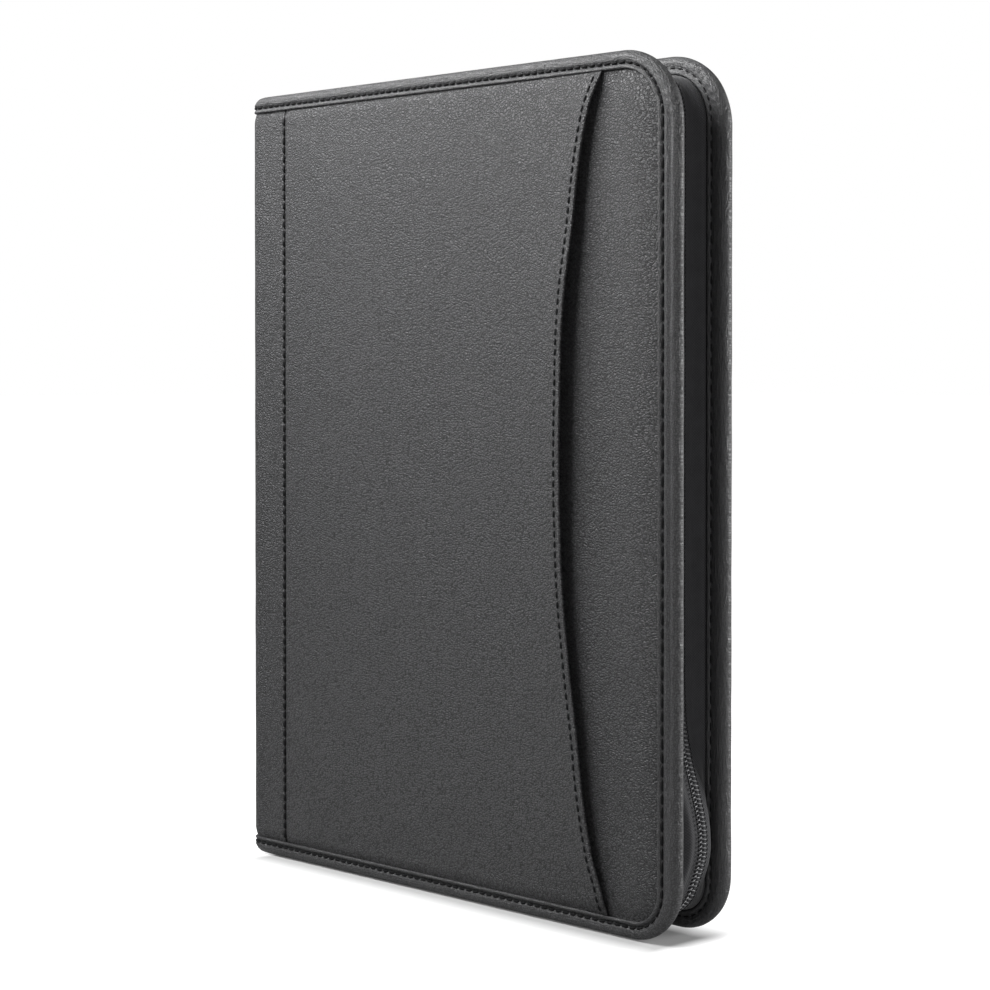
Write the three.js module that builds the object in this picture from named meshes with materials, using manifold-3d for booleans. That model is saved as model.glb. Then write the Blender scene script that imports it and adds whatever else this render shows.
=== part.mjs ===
// Zip-around writing case, closed and standing on its bottom edge.
// Millimetres. X runs across the covers (spine at -X, opening edge at +X),
// Y runs through the case (front cover at -Y), Z is up.
import * as THREE from "three";
import { mergeVertices } from "three/addons/utils/BufferGeometryUtils.js";
import Module from "manifold-3d";

const wasm = await Module();
wasm.setup();

// Overall size of the closed case, without the standing lip of the front pocket
const CASE_WIDTH = 260;
const CASE_HEIGHT = 345;
const CASE_DEPTH = 35;
const GAP = 0.3;
const HINGE_GAP = 0.15;

// Build-up of one cover, as depths below its outer face
const COVER_DEPTH = 6.6;
const BINDING_WALL = 1.0;
const LEATHER = 1.0;
const LEATHER_DEPTH = 1.3;
const BOARD_DEPTH = 2.9;
const BOARD = 1.5;
const LINING_DEPTH = 4.7;
const LINING = 0.6;
const PADDING_RISE = 1.1;
const PADDING_RUN = 34;

// Edge binding: width on the face at the opening edge and at top and bottom
const BINDING_SIDE = 9.7;
const BINDING_END = 7.4;
const CORNER_TOP = 30;
const CORNER_BOTTOM = 24;
const CORNER_TOP_INNER = 19;
const CORNER_BOTTOM_INNER = 13;
const LAYER_REACH = 0.72;

// Strip of leather that runs round the spine and is seamed to both covers
const STRIP_FACE = 18.2;

// Front pocket: its mouth as height share, distance from opening edge, lift share
const MOUTH_LIFT = 6.8;
const MOUTH_RUN = 78;
const HEM = 1.5;
const HEM_WIDTH = 4.0;
const MOUTH = [
  [0.0232, 35.7, 0.05],
  [0.04, 36.1, 0.36],
  [0.088, 40.5, 0.62],
  [0.158, 45.0, 0.72],
  [0.225, 48.0, 0.76],
  [0.305, 51.9, 0.81],
  [0.362, 54.1, 0.86],
  [0.42, 55.5, 0.9],
  [0.493, 56.2, 0.93],
  [0.565, 56.0, 0.97],
  [0.667, 55.0, 1.0],
  [0.732, 53.3, 0.95],
  [0.797, 50.3, 0.83],
  [0.87, 47.3, 0.73],
  [0.934, 43.2, 0.57],
  [0.974, 39.3, 0.14],
  [0.9775, 39.1, 0.06],
];

// Zip: half width of the closed chain, tooth pitch, tape thickness
const CHAIN_HALF = 3.1;
const CHAIN_THICK = 2.2;
const TOOTH_PITCH = 3.6;
const TOOTH_REACH = 0.8;
const TAPE = 0.6;
const CHAIN_SINK = 1.0;
const CHAIN_POP = 7.6;
const CHAIN_LEAN = 2.2;
const TAPE_START = 8;
const CHAIN_END = 23;
const SLIDER_FROM_SPINE = 35;
const SLIDER_LENGTH = 11;
const SLIDER_HALF = 4.6;
const PLATE = 1.2;
const PIN_RADIUS = 0.8;
const PIN_CLEARANCE = 0.3;
const PULL_LENGTH = 30;

// Writing pad and the pockets inside
const PAD_SIDE_ROOM = 25;
const PAD_HEAD_ROOM = 34;
const PAD_CARD = 0.8;
const PAD_PAPER = 5.5;
const PAD_FOOT = 14;
const PAD_SLOT_DROP = 20;
const HEAD_TAPE = 0.4;
const HEAD_TAPE_FALL = 16;
const SHEET = 0.9;
const POCKET_INSET = 2.4;
const SLOT_WIDTH = 104;
const SLOT_HEIGHT = 62;
const SLOT_STEP = 24;
const SLOT_DROP = 40;
const DOCUMENT_SHARE = 0.78;
const PEN_LOOP_RADIUS = 6.4;
const PEN_LOOP_WALL = 1.0;
const PEN_LOOP_LENGTH = 22;

const halfWidth = CASE_WIDTH / 2;
const halfDepth = CASE_DEPTH / 2;
const hingeX = -halfWidth + COVER_DEPTH;
const hingeY = halfDepth - COVER_DEPTH;
const coverLeft = hingeX + HINGE_GAP;
const seamX = coverLeft + STRIP_FACE;
const padWidth = CASE_WIDTH - 2 * PAD_SIDE_ROOM;
const padHeight = CASE_HEIGHT - PAD_FOOT - PAD_HEAD_ROOM;

const group = new THREE.Group();

function add(name, geometry, colour, roughness, metalness = 0) {
  const mesh = new THREE.Mesh(
    geometry,
    new THREE.MeshStandardMaterial({ color: colour, roughness, metalness }),
  );
  mesh.name = name;
  group.add(mesh);
  return mesh;
}

// A closed solid from points and triangles, turned to face outwards
function solid(points, faces) {
  let volume = 0;
  for (const [a, b, c] of faces)
    volume += points[a].dot(new THREE.Vector3().crossVectors(points[b], points[c]));
  const index = faces.flatMap(([a, b, c]) => (volume < 0 ? [a, c, b] : [a, b, c]));
  const geometry = new THREE.BufferGeometry().setFromPoints(points);
  geometry.setIndex(index);
  geometry.computeVertexNormals();
  return geometry;
}

// Rings of equal length joined in order; the first and last are closed flat
function loft(rings, closeWith) {
  const points = rings.flat();
  const n = rings[0].length;
  const faces = [];
  for (let k = 0; k + 1 < rings.length; k++)
    for (let i = 0; i < n; i++) {
      const j = (i + 1) % n;
      faces.push([k * n + i, k * n + j, (k + 1) * n + j]);
      faces.push([k * n + i, (k + 1) * n + j, (k + 1) * n + i]);
    }
  if (closeWith) {
    const last = (rings.length - 1) * n;
    for (const [a, b, c] of THREE.ShapeUtils.triangulateShape(closeWith, [])) {
      faces.push([a, c, b]);
      faces.push([last + a, last + b, last + c]);
    }
    return solid(points, faces);
  }
  for (const [first, turn] of [[0, true], [(rings.length - 1) * n, false]]) {
    const centre = new THREE.Vector3();
    for (let i = 0; i < n; i++) centre.addScaledVector(points[first + i], 1 / n);
    points.push(centre);
    const c = points.length - 1;
    for (let i = 0; i < n; i++) {
      const j = (i + 1) % n;
      faces.push(turn ? [c, first + j, first + i] : [c, first + i, first + j]);
    }
  }
  return solid(points, faces);
}

// A curved sheet between two grids of points of the same size
function sheet(outer, inner) {
  const rows = outer.length;
  const cols = outer[0].length;
  const points = [...outer.flat(), ...inner.flat()];
  const half = rows * cols;
  const faces = [];
  const quad = (a, b, c, d) => faces.push([a, b, c], [a, c, d]);
  for (let r = 0; r + 1 < rows; r++)
    for (let c = 0; c + 1 < cols; c++) {
      const a = r * cols + c;
      quad(a, a + 1, a + cols + 1, a + cols);
      quad(half + a, half + a + cols, half + a + cols + 1, half + a + 1);
    }
  for (let c = 0; c + 1 < cols; c++) {
    const top = (rows - 1) * cols + c;
    quad(c, half + c, half + c + 1, c + 1);
    quad(top, top + 1, half + top + 1, half + top);
  }
  for (let r = 0; r + 1 < rows; r++) {
    const a = r * cols;
    const b = a + cols - 1;
    quad(a, a + cols, half + a + cols, half + a);
    quad(b, half + b, half + b + cols, b + cols);
  }
  return solid(points, faces);
}

function block(x0, x1, y0, y1, z0, z1) {
  const g = new THREE.BoxGeometry(x1 - x0, y1 - y0, z1 - z0);
  g.translate((x0 + x1) / 2, (y0 + y1) / 2, (z0 + z1) / 2);
  return g;
}

function toManifold(geometry) {
  const bare = geometry.clone();
  bare.deleteAttribute("normal");
  bare.deleteAttribute("uv");
  const merged = mergeVertices(bare, 1e-4);
  return new wasm.Manifold(
    new wasm.Mesh({
      numProp: 3,
      vertProperties: new Float32Array(merged.attributes.position.array),
      triVerts: new Uint32Array(merged.index.array),
    }),
  );
}

function fromManifold(body) {
  const mesh = body.getMesh();
  const geometry = new THREE.BufferGeometry();
  geometry.setAttribute("position", new THREE.BufferAttribute(mesh.vertProperties, 3));
  geometry.setIndex(new THREE.BufferAttribute(mesh.triVerts, 1));
  geometry.computeVertexNormals();
  return geometry;
}

// Outline of a cover as points in X and Z: square at the spine, round at the
// opening edge. The insets are measured from the outer edge of the case.
function outline(side, end, lowRadius, highRadius, left, steps = 8) {
  const right = halfWidth - side;
  const bottom = end;
  const top = CASE_HEIGHT - end;
  const points = [[left, bottom]];
  for (let i = 0; i <= steps; i++) {
    const a = -Math.PI / 2 + (i / steps) * (Math.PI / 2);
    points.push([
      right - lowRadius + lowRadius * Math.cos(a),
      bottom + lowRadius + lowRadius * Math.sin(a),
    ]);
  }
  for (let i = 0; i <= steps; i++) {
    const a = (i / steps) * (Math.PI / 2);
    points.push([
      right - highRadius + highRadius * Math.cos(a),
      top - highRadius + highRadius * Math.sin(a),
    ]);
  }
  points.push([left, top]);
  return points;
}

const outerLine = outline(0, 0, CORNER_BOTTOM, CORNER_TOP, coverLeft);
const innerLine = outline(
  BINDING_SIDE, BINDING_END, CORNER_BOTTOM_INNER, CORNER_TOP_INNER, coverLeft,
);

function between(share) {
  return innerLine.map(([x, z], i) => [
    x + (outerLine[i][0] - x) * share,
    z + (outerLine[i][1] - z) * share,
  ]);
}

// face is -1 for the front cover and +1 for the back cover
const yAt = (face, depth) => face * (halfDepth - depth);
const ring = (line, y) => line.map(([x, z]) => new THREE.Vector3(x, y, z));

function plate(line, face, depth, thickness) {
  const a = ring(line, yAt(face, depth));
  const b = ring(line, yAt(face, depth + thickness));
  return loft([a, b]);
}

const rise = (d) => PADDING_RISE * Math.sin((Math.PI / 2) * Math.min(1, Math.max(0, d) / PADDING_RUN));
const windowLine = (d) =>
  outline(
    BINDING_SIDE + GAP + d, BINDING_END + GAP + d,
    Math.max(4, CORNER_BOTTOM_INNER - d), Math.max(4, CORNER_TOP_INNER - d), seamX + GAP + d,
  );
const INSETS = [0, 3, 8, 15, 24, PADDING_RUN];

// Leather skin of a cover: flat under the binding, padded inside it
function skin(face) {
  const rings = [ring(between(LAYER_REACH), yAt(face, LEATHER_DEPTH))];
  for (const d of INSETS) rings.push(ring(windowLine(d), yAt(face, LEATHER_DEPTH - rise(d))));
  const under = [];
  for (const d of [...INSETS].reverse())
    under.push(ring(windowLine(d), yAt(face, LEATHER_DEPTH + LEATHER - rise(d))));
  under.push(ring(between(LAYER_REACH), yAt(face, LEATHER_DEPTH + LEATHER)));
  return loftShell([...under.reverse(), ...rings.reverse()], INSETS.length + 1);
}

// Two nested caps joined at their rim: the rings run from the rim of the
// lower face inwards, then from the middle of the upper face out to its rim
function loftShell(rings, half) {
  const low = rings.slice(0, half);
  const high = rings.slice(half);
  const chain = [...low.reverse(), ...high.reverse()];
  return loft(chain);
}

// Foam between the skin and the board
function foam(face) {
  const start = INSETS.filter((d) => rise(d) > 0.35);
  const rings = [ring(windowLine(start[0]), yAt(face, BOARD_DEPTH - GAP))];
  for (const d of start)
    rings.push(ring(windowLine(d), yAt(face, LEATHER_DEPTH + LEATHER + GAP - rise(d))));
  return loft(rings);
}

// Folded binding round three sides of a cover: share of the width, depth
const BINDING_SECTION = [
  [0, 0.25], [0.04, 0], [0.6, 0], [0.66, 0.45], [0.73, 0.45], [0.79, 0.08],
  [0.88, 0.25], [0.955, 1.0], [1, 2.2], [1, COVER_DEPTH - 2.2],
  [0.955, COVER_DEPTH - 1.0], [0.88, COVER_DEPTH - 0.25], [0.79, COVER_DEPTH],
  [0, COVER_DEPTH], [0, COVER_DEPTH - BINDING_WALL], [0.76, COVER_DEPTH - BINDING_WALL],
  [0.86, COVER_DEPTH - 1.9], [0.86, 1.9], [0.76, BINDING_WALL], [0, BINDING_WALL],
];

function binding(face) {
  const lines = BINDING_SECTION.map(([share]) => between(share));
  const rings = innerLine.map((_, i) =>
    BINDING_SECTION.map(
      ([, depth], k) => new THREE.Vector3(lines[k][i][0], yAt(face, depth), lines[k][i][1]),
    ),
  );
  const flat = BINDING_SECTION.map(([share, depth]) => new THREE.Vector2(share * BINDING_END, depth));
  return loft(rings, flat);
}

// The same binding carried across the top (sign +1) or bottom of the spine
function spineBinding(sign) {
  const rings = [-1, 1].map((end) =>
    BINDING_SECTION.map(([share, depth]) => {
      const z = BINDING_END * (1 - share);
      return new THREE.Vector3(
        -halfWidth + depth,
        end * (hingeY - HINGE_GAP),
        sign > 0 ? CASE_HEIGHT - z : z,
      );
    }),
  );
  const flat = BINDING_SECTION.map(([share, depth]) => new THREE.Vector2(share * BINDING_END, depth));
  return loft(rings, flat);
}

// Quarter-round fold of leather between the spine and a cover
function fold(face) {
  const r = COVER_DEPTH;
  const top = CASE_HEIGHT;
  const profile = [
    [r, 2.2], [r, top - 2.2], [r - 1.0, top - 0.35], [r - 2.2, top], [1.6, top],
    [1.6, top - BINDING_WALL], [r - 2.0, top - BINDING_WALL], [r - BINDING_WALL, top - 2.0],
    [r - BINDING_WALL, 2.0], [r - 2.0, BINDING_WALL], [1.6, BINDING_WALL], [1.6, 0],
    [r - 2.2, 0], [r - 1.0, 0.35],
  ];
  const margin = (3.2 * Math.PI) / 180;
  const steps = 8;
  const rings = [];
  for (let i = 0; i <= steps; i++) {
    const a = Math.PI + margin + (i / steps) * (Math.PI / 2 - 2 * margin);
    rings.push(
      profile.map(
        ([q, z]) =>
          new THREE.Vector3(
            hingeX + q * Math.cos(a),
            face * (hingeY - q * Math.sin(a)),
            z,
          ),
      ),
    );
  }
  return loft(rings, profile.map(([q, z]) => new THREE.Vector2(q, z)));
}

// Depth of the base panel's padding at a point of the front cover
function padAt(x, z) {
  const d = Math.min(
    x - seamX - GAP,
    halfWidth - BINDING_SIDE - GAP - x,
    z - BINDING_END - GAP,
    CASE_HEIGHT - BINDING_END - GAP - z,
  );
  return rise(d);
}

// Pocket on the front: held at the seam, top and bottom, its mouth standing open
function pocket() {
  const rows = [];
  const half = (BINDING_END + GAP) / CASE_HEIGHT;
  const stations = MOUTH.map((m) => m.slice());
  stations[0][0] = half;
  stations[stations.length - 1][0] = 1 - half;
  const fine = [];
  stations.forEach((s, i) => {
    fine.push(s);
    const t = stations[i + 1];
    if (t && t[0] - s[0] > 0.06) fine.push([(s[0] + t[0]) / 2, (s[1] + t[1]) / 2, (s[2] + t[2]) / 2]);
  });
  const left = seamX + GAP;
  const outer = [];
  const inner = [];
  for (const [share, fromEdge, lift] of fine) {
    const z = share * CASE_HEIGHT;
    const edge = halfWidth - fromEdge;
    const free = edge - HEM_WIDTH;
    const xs = [0, 0.15, 0.35, 0.65, 1.06].map((k) => left + k * PADDING_RUN);
    xs.push(edge - MOUTH_RUN);
    for (const k of [0.2, 0.38, 0.54, 0.68, 0.8, 0.9]) xs.push(edge - MOUTH_RUN + k * (free - edge + MOUTH_RUN));
    xs.push(free, free + 0.5, edge - 0.6, edge);
    const raise = Math.max(0, lift * MOUTH_LIFT - padAt(edge, z));
    const top = [];
    const low = [];
    xs.forEach((x, i) => {
      const s = Math.max(0, (x - edge + MOUTH_RUN) / MOUTH_RUN);
      const y = halfDepth + padAt(x, z) + raise * s ** 2.2;
      const thick = i > 12 ? HEM : LEATHER;
      const round = i === xs.length - 1 ? 0.4 : 0;
      top.push(new THREE.Vector3(x, -(y - round), z));
      low.push(new THREE.Vector3(x, -(y - thick + round), z));
    });
    outer.push(top);
    inner.push(low);
  }
  return sheet(outer, inner);
}

const LEATHER_GREY = 0x2b2b2e;
const TRIM_GREY = 0x242427;

for (const [side, face] of [["front", -1], ["back", 1]]) {
  add(side + "_panel", skin(face), LEATHER_GREY, 0.55);
  add(side + "_foam", foam(face), 0xd8d6cf, 0.95);
  add(side + "_board", plate(between(LAYER_REACH), face, BOARD_DEPTH, BOARD), 0x8b8478, 0.9);
  add(side + "_lining", plate(between(LAYER_REACH), face, LINING_DEPTH, LINING), 0x1c1c1f, 0.8);
  add(side + "_binding", binding(face), TRIM_GREY, 0.5);
  const strip = block(
    coverLeft, seamX, Math.min(yAt(face, 0), yAt(face, LEATHER)), Math.max(yAt(face, 0), yAt(face, LEATHER)),
    BINDING_END + GAP, CASE_HEIGHT - BINDING_END - GAP,
  );
  add(side + "_spine_strip", strip, LEATHER_GREY, 0.55);
  add(side + "_fold", fold(face), TRIM_GREY, 0.55);
}
add("front_pocket", pocket(), LEATHER_GREY, 0.55);

// Spine: leather strip, stiffening board, lining and the binding over its ends
const spineHalf = hingeY - HINGE_GAP;
const spineLow = BINDING_END * (1 - LAYER_REACH);
add(
  "spine_leather",
  block(-halfWidth, -halfWidth + LEATHER, -spineHalf, spineHalf, BINDING_END + GAP, CASE_HEIGHT - BINDING_END - GAP),
  LEATHER_GREY, 0.55,
);
add(
  "spine_board",
  block(
    -halfWidth + LEATHER_DEPTH, -halfWidth + LEATHER_DEPTH + BOARD,
    -spineHalf + 1, spineHalf - 1, spineLow, CASE_HEIGHT - spineLow,
  ),
  0x8b8478, 0.9,
);
const spineLiningX = -halfWidth + LEATHER_DEPTH + BOARD + GAP;
add(
  "spine_lining",
  block(spineLiningX, spineLiningX + LINING, -spineHalf, spineHalf, spineLow, CASE_HEIGHT - spineLow),
  0x1c1c1f, 0.8,
);
add("spine_binding_top", spineBinding(1), TRIM_GREY, 0.5);
add("spine_binding_bottom", spineBinding(-1), TRIM_GREY, 0.5);

// Elastic loop for a pen, fixed to the spine lining
const loopShape = new THREE.Shape();
loopShape.absarc(0, 0, PEN_LOOP_RADIUS, 0, Math.PI * 2, false);
const loopHole = new THREE.Path();
loopHole.absarc(0, 0, PEN_LOOP_RADIUS - PEN_LOOP_WALL, 0, Math.PI * 2, true);
loopShape.holes.push(loopHole);
const penLoop = new THREE.ExtrudeGeometry(loopShape, {
  depth: PEN_LOOP_LENGTH, bevelEnabled: false, curveSegments: 16,
});
penLoop.translate(spineLiningX + LINING + GAP + PEN_LOOP_RADIUS, 0, CASE_HEIGHT / 2);
add("pen_loop", penLoop, 0x17171a, 0.85);

// Path of the chain: point on the inner line of the binding, outward
// direction, and how far out of that line the chain runs. It is tucked in deep
// along the opening edge, out of sight, and springs out at the bottom corner.
// The first list is over the corner, the second up the opening edge: place, share.
// A share of 0 is the chain's depth on the straight runs, and below 0 is deeper.
const POP_CORNER = [[0, 0], [0.2, 0.12], [0.45, 0.42], [0.7, 0.74], [1, 0.95]];
const TUCKED = -0.41;
const POP_SIDE = [
  [0.7, TUCKED], [0.4, TUCKED], [0.33, -0.35], [0.29, -0.21], [0.25, 0.05], [0.23, 0.22], [0.21, 0.31],
  [0.19, 0.45], [0.17, 0.64], [0.15, 0.82], [0.13, 0.94], [0.11, 1], [0.09, 1],
];
const popped = (share) => -CHAIN_SINK + share * (CHAIN_POP + CHAIN_SINK);
const chainPath = [];
{
  const right = halfWidth - BINDING_SIDE;
  const low = BINDING_END;
  const high = CASE_HEIGHT - BINDING_END;
  const rLow = CORNER_BOTTOM_INNER;
  const rHigh = CORNER_TOP_INNER;
  const push = (x, z, nx, nz, out) =>
    chainPath.push({ x, z, nx, nz, out, lean: (CHAIN_LEAN * Math.max(0, out)) / CHAIN_POP });
  const start = -halfWidth + TAPE_START;
  push(start, high, 0, 1, -CHAIN_SINK);
  push(start + (right - rHigh - start) * 0.5, high, 0, 1, -CHAIN_SINK);
  for (let i = 0; i <= 8; i++) {
    const a = Math.PI / 2 - (i / 8) * (Math.PI / 2);
    push(
      right - rHigh + rHigh * Math.cos(a), high - rHigh + rHigh * Math.sin(a),
      Math.cos(a), Math.sin(a), popped((TUCKED * i) / 8),
    );
  }
  for (const [place, share] of POP_SIDE)
    push(right, place * CASE_HEIGHT, 1, 0, popped(share));
  for (let i = 0; i <= 8; i++) {
    const t = i / 8;
    const a = -t * (Math.PI / 2);
    const k = 1 - t;
    let out = 0;
    for (let j = 0; j + 1 < POP_CORNER.length; j++) {
      const [a0, s0] = POP_CORNER[j];
      const [a1, s1] = POP_CORNER[j + 1];
      if (k >= a0 && k <= a1) out = popped(THREE.MathUtils.mapLinear(k, a0, a1, s0, s1));
    }
    push(
      right - rLow + rLow * Math.cos(a), low + rLow + rLow * Math.sin(a),
      Math.cos(a), Math.sin(a), out,
    );
  }
  push(start + (right - rLow - start) * 0.5, low, 0, -1, -CHAIN_SINK);
  push(start, low, 0, -1, -CHAIN_SINK);
}

// Tape half: sewn in at the binding, folded in between the covers
const TAPE_COURSE = [
  [0, hingeY + 0.5], [0, hingeY - 0.4], [0.45, hingeY - 2.4], [1, 5.6], [1, CHAIN_HALF + GAP],
];
function tape(face) {
  const outer = [];
  const inner = [];
  for (const p of chainPath) {
    const course = TAPE_COURSE.map(([share, y]) => {
      const out = -0.6 + (p.out + 0.6) * share;
      return new THREE.Vector3(out, y, p.lean * share);
    });
    const top = [];
    const low = [];
    course.forEach((c, i) => {
      const before = course[Math.max(0, i - 1)];
      const after = course[Math.min(course.length - 1, i + 1)];
      const run = new THREE.Vector2(after.x - before.x, after.y - before.y).normalize();
      const nx = -run.y * (TAPE / 2);
      const ny = run.x * (TAPE / 2);
      const place = (out, y) =>
        new THREE.Vector3(p.x + p.nx * out, face * y + c.z, p.z + p.nz * out);
      top.push(place(c.x + nx, c.y + ny));
      low.push(place(c.x - nx, c.y - ny));
    });
    outer.push(top);
    inner.push(low);
  }
  return sheet(outer, inner);
}

// Chain half: a row of teeth that meshes with the other half with a clearance
const chainLine = chainPath.map((p) => ({
  x: p.x + p.nx * p.out, z: p.z + p.nz * p.out, nx: p.nx, nz: p.nz, lean: p.lean,
}));
const chainLengths = [0];
for (let i = 1; i < chainLine.length; i++)
  chainLengths.push(
    chainLengths[i - 1] + Math.hypot(chainLine[i].x - chainLine[i - 1].x, chainLine[i].z - chainLine[i - 1].z),
  );
function chainAt(s) {
  let i = 1;
  while (i < chainLengths.length - 1 && chainLengths[i] < s) i++;
  const t = (s - chainLengths[i - 1]) / (chainLengths[i] - chainLengths[i - 1]);
  const a = chainLine[i - 1];
  const b = chainLine[i];
  const nx = a.nx + (b.nx - a.nx) * t;
  const nz = a.nz + (b.nz - a.nz) * t;
  const l = Math.hypot(nx, nz);
  const lean = a.lean + (b.lean - a.lean) * t;
  return { x: a.x + (b.x - a.x) * t, z: a.z + (b.z - a.z) * t, nx: nx / l, nz: nz / l, lean };
}
const sliderX = -halfWidth + SLIDER_FROM_SPINE;
const chainZ = CASE_HEIGHT - BINDING_END - CHAIN_SINK;
function chain(face) {
  const first = sliderX - chainLine[0].x - 0.5;
  const total = chainLengths[chainLengths.length - 1] - first - (CHAIN_END - TAPE_START);
  const count = Math.floor(total / (TOOTH_PITCH / 2));
  const rings = [];
  for (let i = 0; i <= count; i++) {
    const p = chainAt(first + (i * TOOTH_PITCH) / 2);
    const mesh = GAP * face + (i % 2 ? TOOTH_REACH : -TOOTH_REACH) * 0.5;
    const place = (out, y) => new THREE.Vector3(p.x + p.nx * out, y + p.lean, p.z + p.nz * out);
    const h = CHAIN_THICK / 2;
    rings.push([
      place(-h, mesh), place(h, mesh), place(h * 0.55, face * CHAIN_HALF), place(-h * 0.55, face * CHAIN_HALF),
    ]);
  }
  return loft(rings);
}

for (const [side, face] of [["front", -1], ["back", 1]]) {
  add("zip_tape_" + side, tape(face), 0x151517, 0.9);
  add("zip_chain_" + side, chain(face), 0x202024, 0.45);
  // Small metal stop clamped on the edge of the tape, ahead of the slider
  const stopX = sliderX - SLIDER_LENGTH / 2 - 3.2;
  const body = toManifold(block(-1.25, 1.25, 2.0, 5.0, -1.4, 1.4));
  const slot = toManifold(block(-2, 2, CHAIN_HALF, 6, -TAPE / 2 - GAP, TAPE / 2 + GAP));
  const stop = fromManifold(body.subtract(slot));
  if (face < 0) stop.rotateZ(Math.PI);
  stop.translate(stopX, 0, chainZ);
  add("zip_stop_" + side, stop, 0x6f7074, 0.35, 0.9);
}
add(
  "zip_end_stop",
  block(
    -halfWidth + CHAIN_END - 3.6, -halfWidth + CHAIN_END - 0.6,
    -CHAIN_HALF, CHAIN_HALF, BINDING_END + CHAIN_SINK - 1.4, BINDING_END + CHAIN_SINK + 1.4,
  ),
  0x6f7074, 0.35, 0.9,
);

// Slider: two plates with side flanges, joined by a wedge, and an eye on top
const plateGap = CHAIN_THICK / 2 + 0.4;
function sliderPlate(z0) {
  const s = new THREE.Shape();
  const l = SLIDER_LENGTH / 2;
  const tail = SLIDER_HALF - 0.3;
  s.moveTo(-l + 1.4, -SLIDER_HALF);
  s.lineTo(l - 1.2, -tail);
  s.quadraticCurveTo(l, -tail, l, -tail + 1.2);
  s.lineTo(l, tail - 1.2);
  s.quadraticCurveTo(l, tail, l - 1.2, tail);
  s.lineTo(-l + 1.4, SLIDER_HALF);
  s.quadraticCurveTo(-l, SLIDER_HALF, -l, SLIDER_HALF - 1.8);
  s.lineTo(-l + 1.2, 0);
  s.lineTo(-l, -SLIDER_HALF + 1.8);
  s.quadraticCurveTo(-l, -SLIDER_HALF, -l + 1.4, -SLIDER_HALF);
  const g = new THREE.ExtrudeGeometry(s, { depth: PLATE, bevelEnabled: false, curveSegments: 5 });
  g.translate(0, 0, z0);
  return toManifold(g);
}
const eyeRadius = PIN_RADIUS + PIN_CLEARANCE;
const eyeZ = plateGap + PLATE + eyeRadius + 0.1;
const eyeX = 0.5;
{
  let body = sliderPlate(plateGap).add(sliderPlate(-plateGap - PLATE));
  for (const side of [-1, 1])
    for (const level of [-1, 1]) {
      const y0 = side > 0 ? SLIDER_HALF - 1.0 : -SLIDER_HALF + 0.3;
      const z0 = level > 0 ? TAPE / 2 + 0.45 : -plateGap - 0.1;
      const z1 = level > 0 ? plateGap + 0.1 : -TAPE / 2 - 0.45;
      const l = SLIDER_LENGTH / 2 - 1.5;
      body = body.add(toManifold(block(-l, l, y0, y0 + 0.7, z0, z1)));
    }
  body = body.add(toManifold(block(-4.4, -1.9, -0.9, 0.9, -plateGap - 0.1, plateGap + 0.1)));
  const eye = new THREE.Shape();
  const top = eyeZ + eyeRadius + 0.9;
  const foot = plateGap + PLATE - 0.2;
  eye.moveTo(eyeX - 3.6, foot);
  eye.lineTo(eyeX + 3.6, foot);
  eye.quadraticCurveTo(eyeX + 3.2, top, eyeX, top);
  eye.quadraticCurveTo(eyeX - 3.2, top, eyeX - 3.6, foot);
  const hole = new THREE.Path();
  hole.absarc(eyeX, eyeZ, eyeRadius, 0, Math.PI * 2, true);
  eye.holes.push(hole);
  const g = new THREE.ExtrudeGeometry(eye, { depth: 2.0, bevelEnabled: false, curveSegments: 10 });
  g.rotateX(Math.PI / 2);
  g.translate(0, 1.0, 0);
  body = body.add(toManifold(g));
  const slider = fromManifold(body);
  slider.translate(sliderX, 0, chainZ);
  add("zip_slider", slider, 0x77787c, 0.3, 0.9);
}

// Pull: a pin through the eye, two arms beside it and a flat tab with a slot
{
  const pin = new THREE.CylinderGeometry(PIN_RADIUS, PIN_RADIUS, 5.0, 24);
  let body = toManifold(pin);
  for (const side of [-1, 1]) {
    const arm = new THREE.Shape();
    arm.absarc(0, 0, 1.1, Math.PI / 2, -Math.PI / 2, false);
    arm.lineTo(8.2, -0.8);
    arm.lineTo(8.2, 0.8);
    const g = new THREE.ExtrudeGeometry(arm, { depth: 1.2, bevelEnabled: false, curveSegments: 8 });
    g.rotateX(Math.PI / 2);
    g.translate(0, side > 0 ? 2.5 : -1.3, 0);
    body = body.add(toManifold(g));
  }
  const tab = new THREE.Shape();
  const w = 3.6;
  tab.moveTo(7.2, -2.5);
  tab.lineTo(9.5, -w);
  tab.lineTo(PULL_LENGTH - 3, -w);
  tab.quadraticCurveTo(PULL_LENGTH, -w, PULL_LENGTH, 0);
  tab.quadraticCurveTo(PULL_LENGTH, w, PULL_LENGTH - 3, w);
  tab.lineTo(9.5, w);
  tab.lineTo(7.2, 2.5);
  const slot = new THREE.Path();
  slot.absarc(PULL_LENGTH - 10, 0, 1.4, Math.PI / 2, Math.PI * 1.5, false);
  slot.absarc(PULL_LENGTH - 4.5, 0, 1.4, -Math.PI / 2, Math.PI / 2, false);
  tab.holes.push(slot);
  const g = new THREE.ExtrudeGeometry(tab, { depth: 1.6, bevelEnabled: false, curveSegments: 8 });
  g.translate(0, 0, -0.8);
  body = body.add(toManifold(g));
  const pull = fromManifold(body);
  pull.translate(sliderX + eyeX, 0, chainZ + eyeZ);
  add("zip_pull", pull, 0x77787c, 0.3, 0.9);
}

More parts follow.
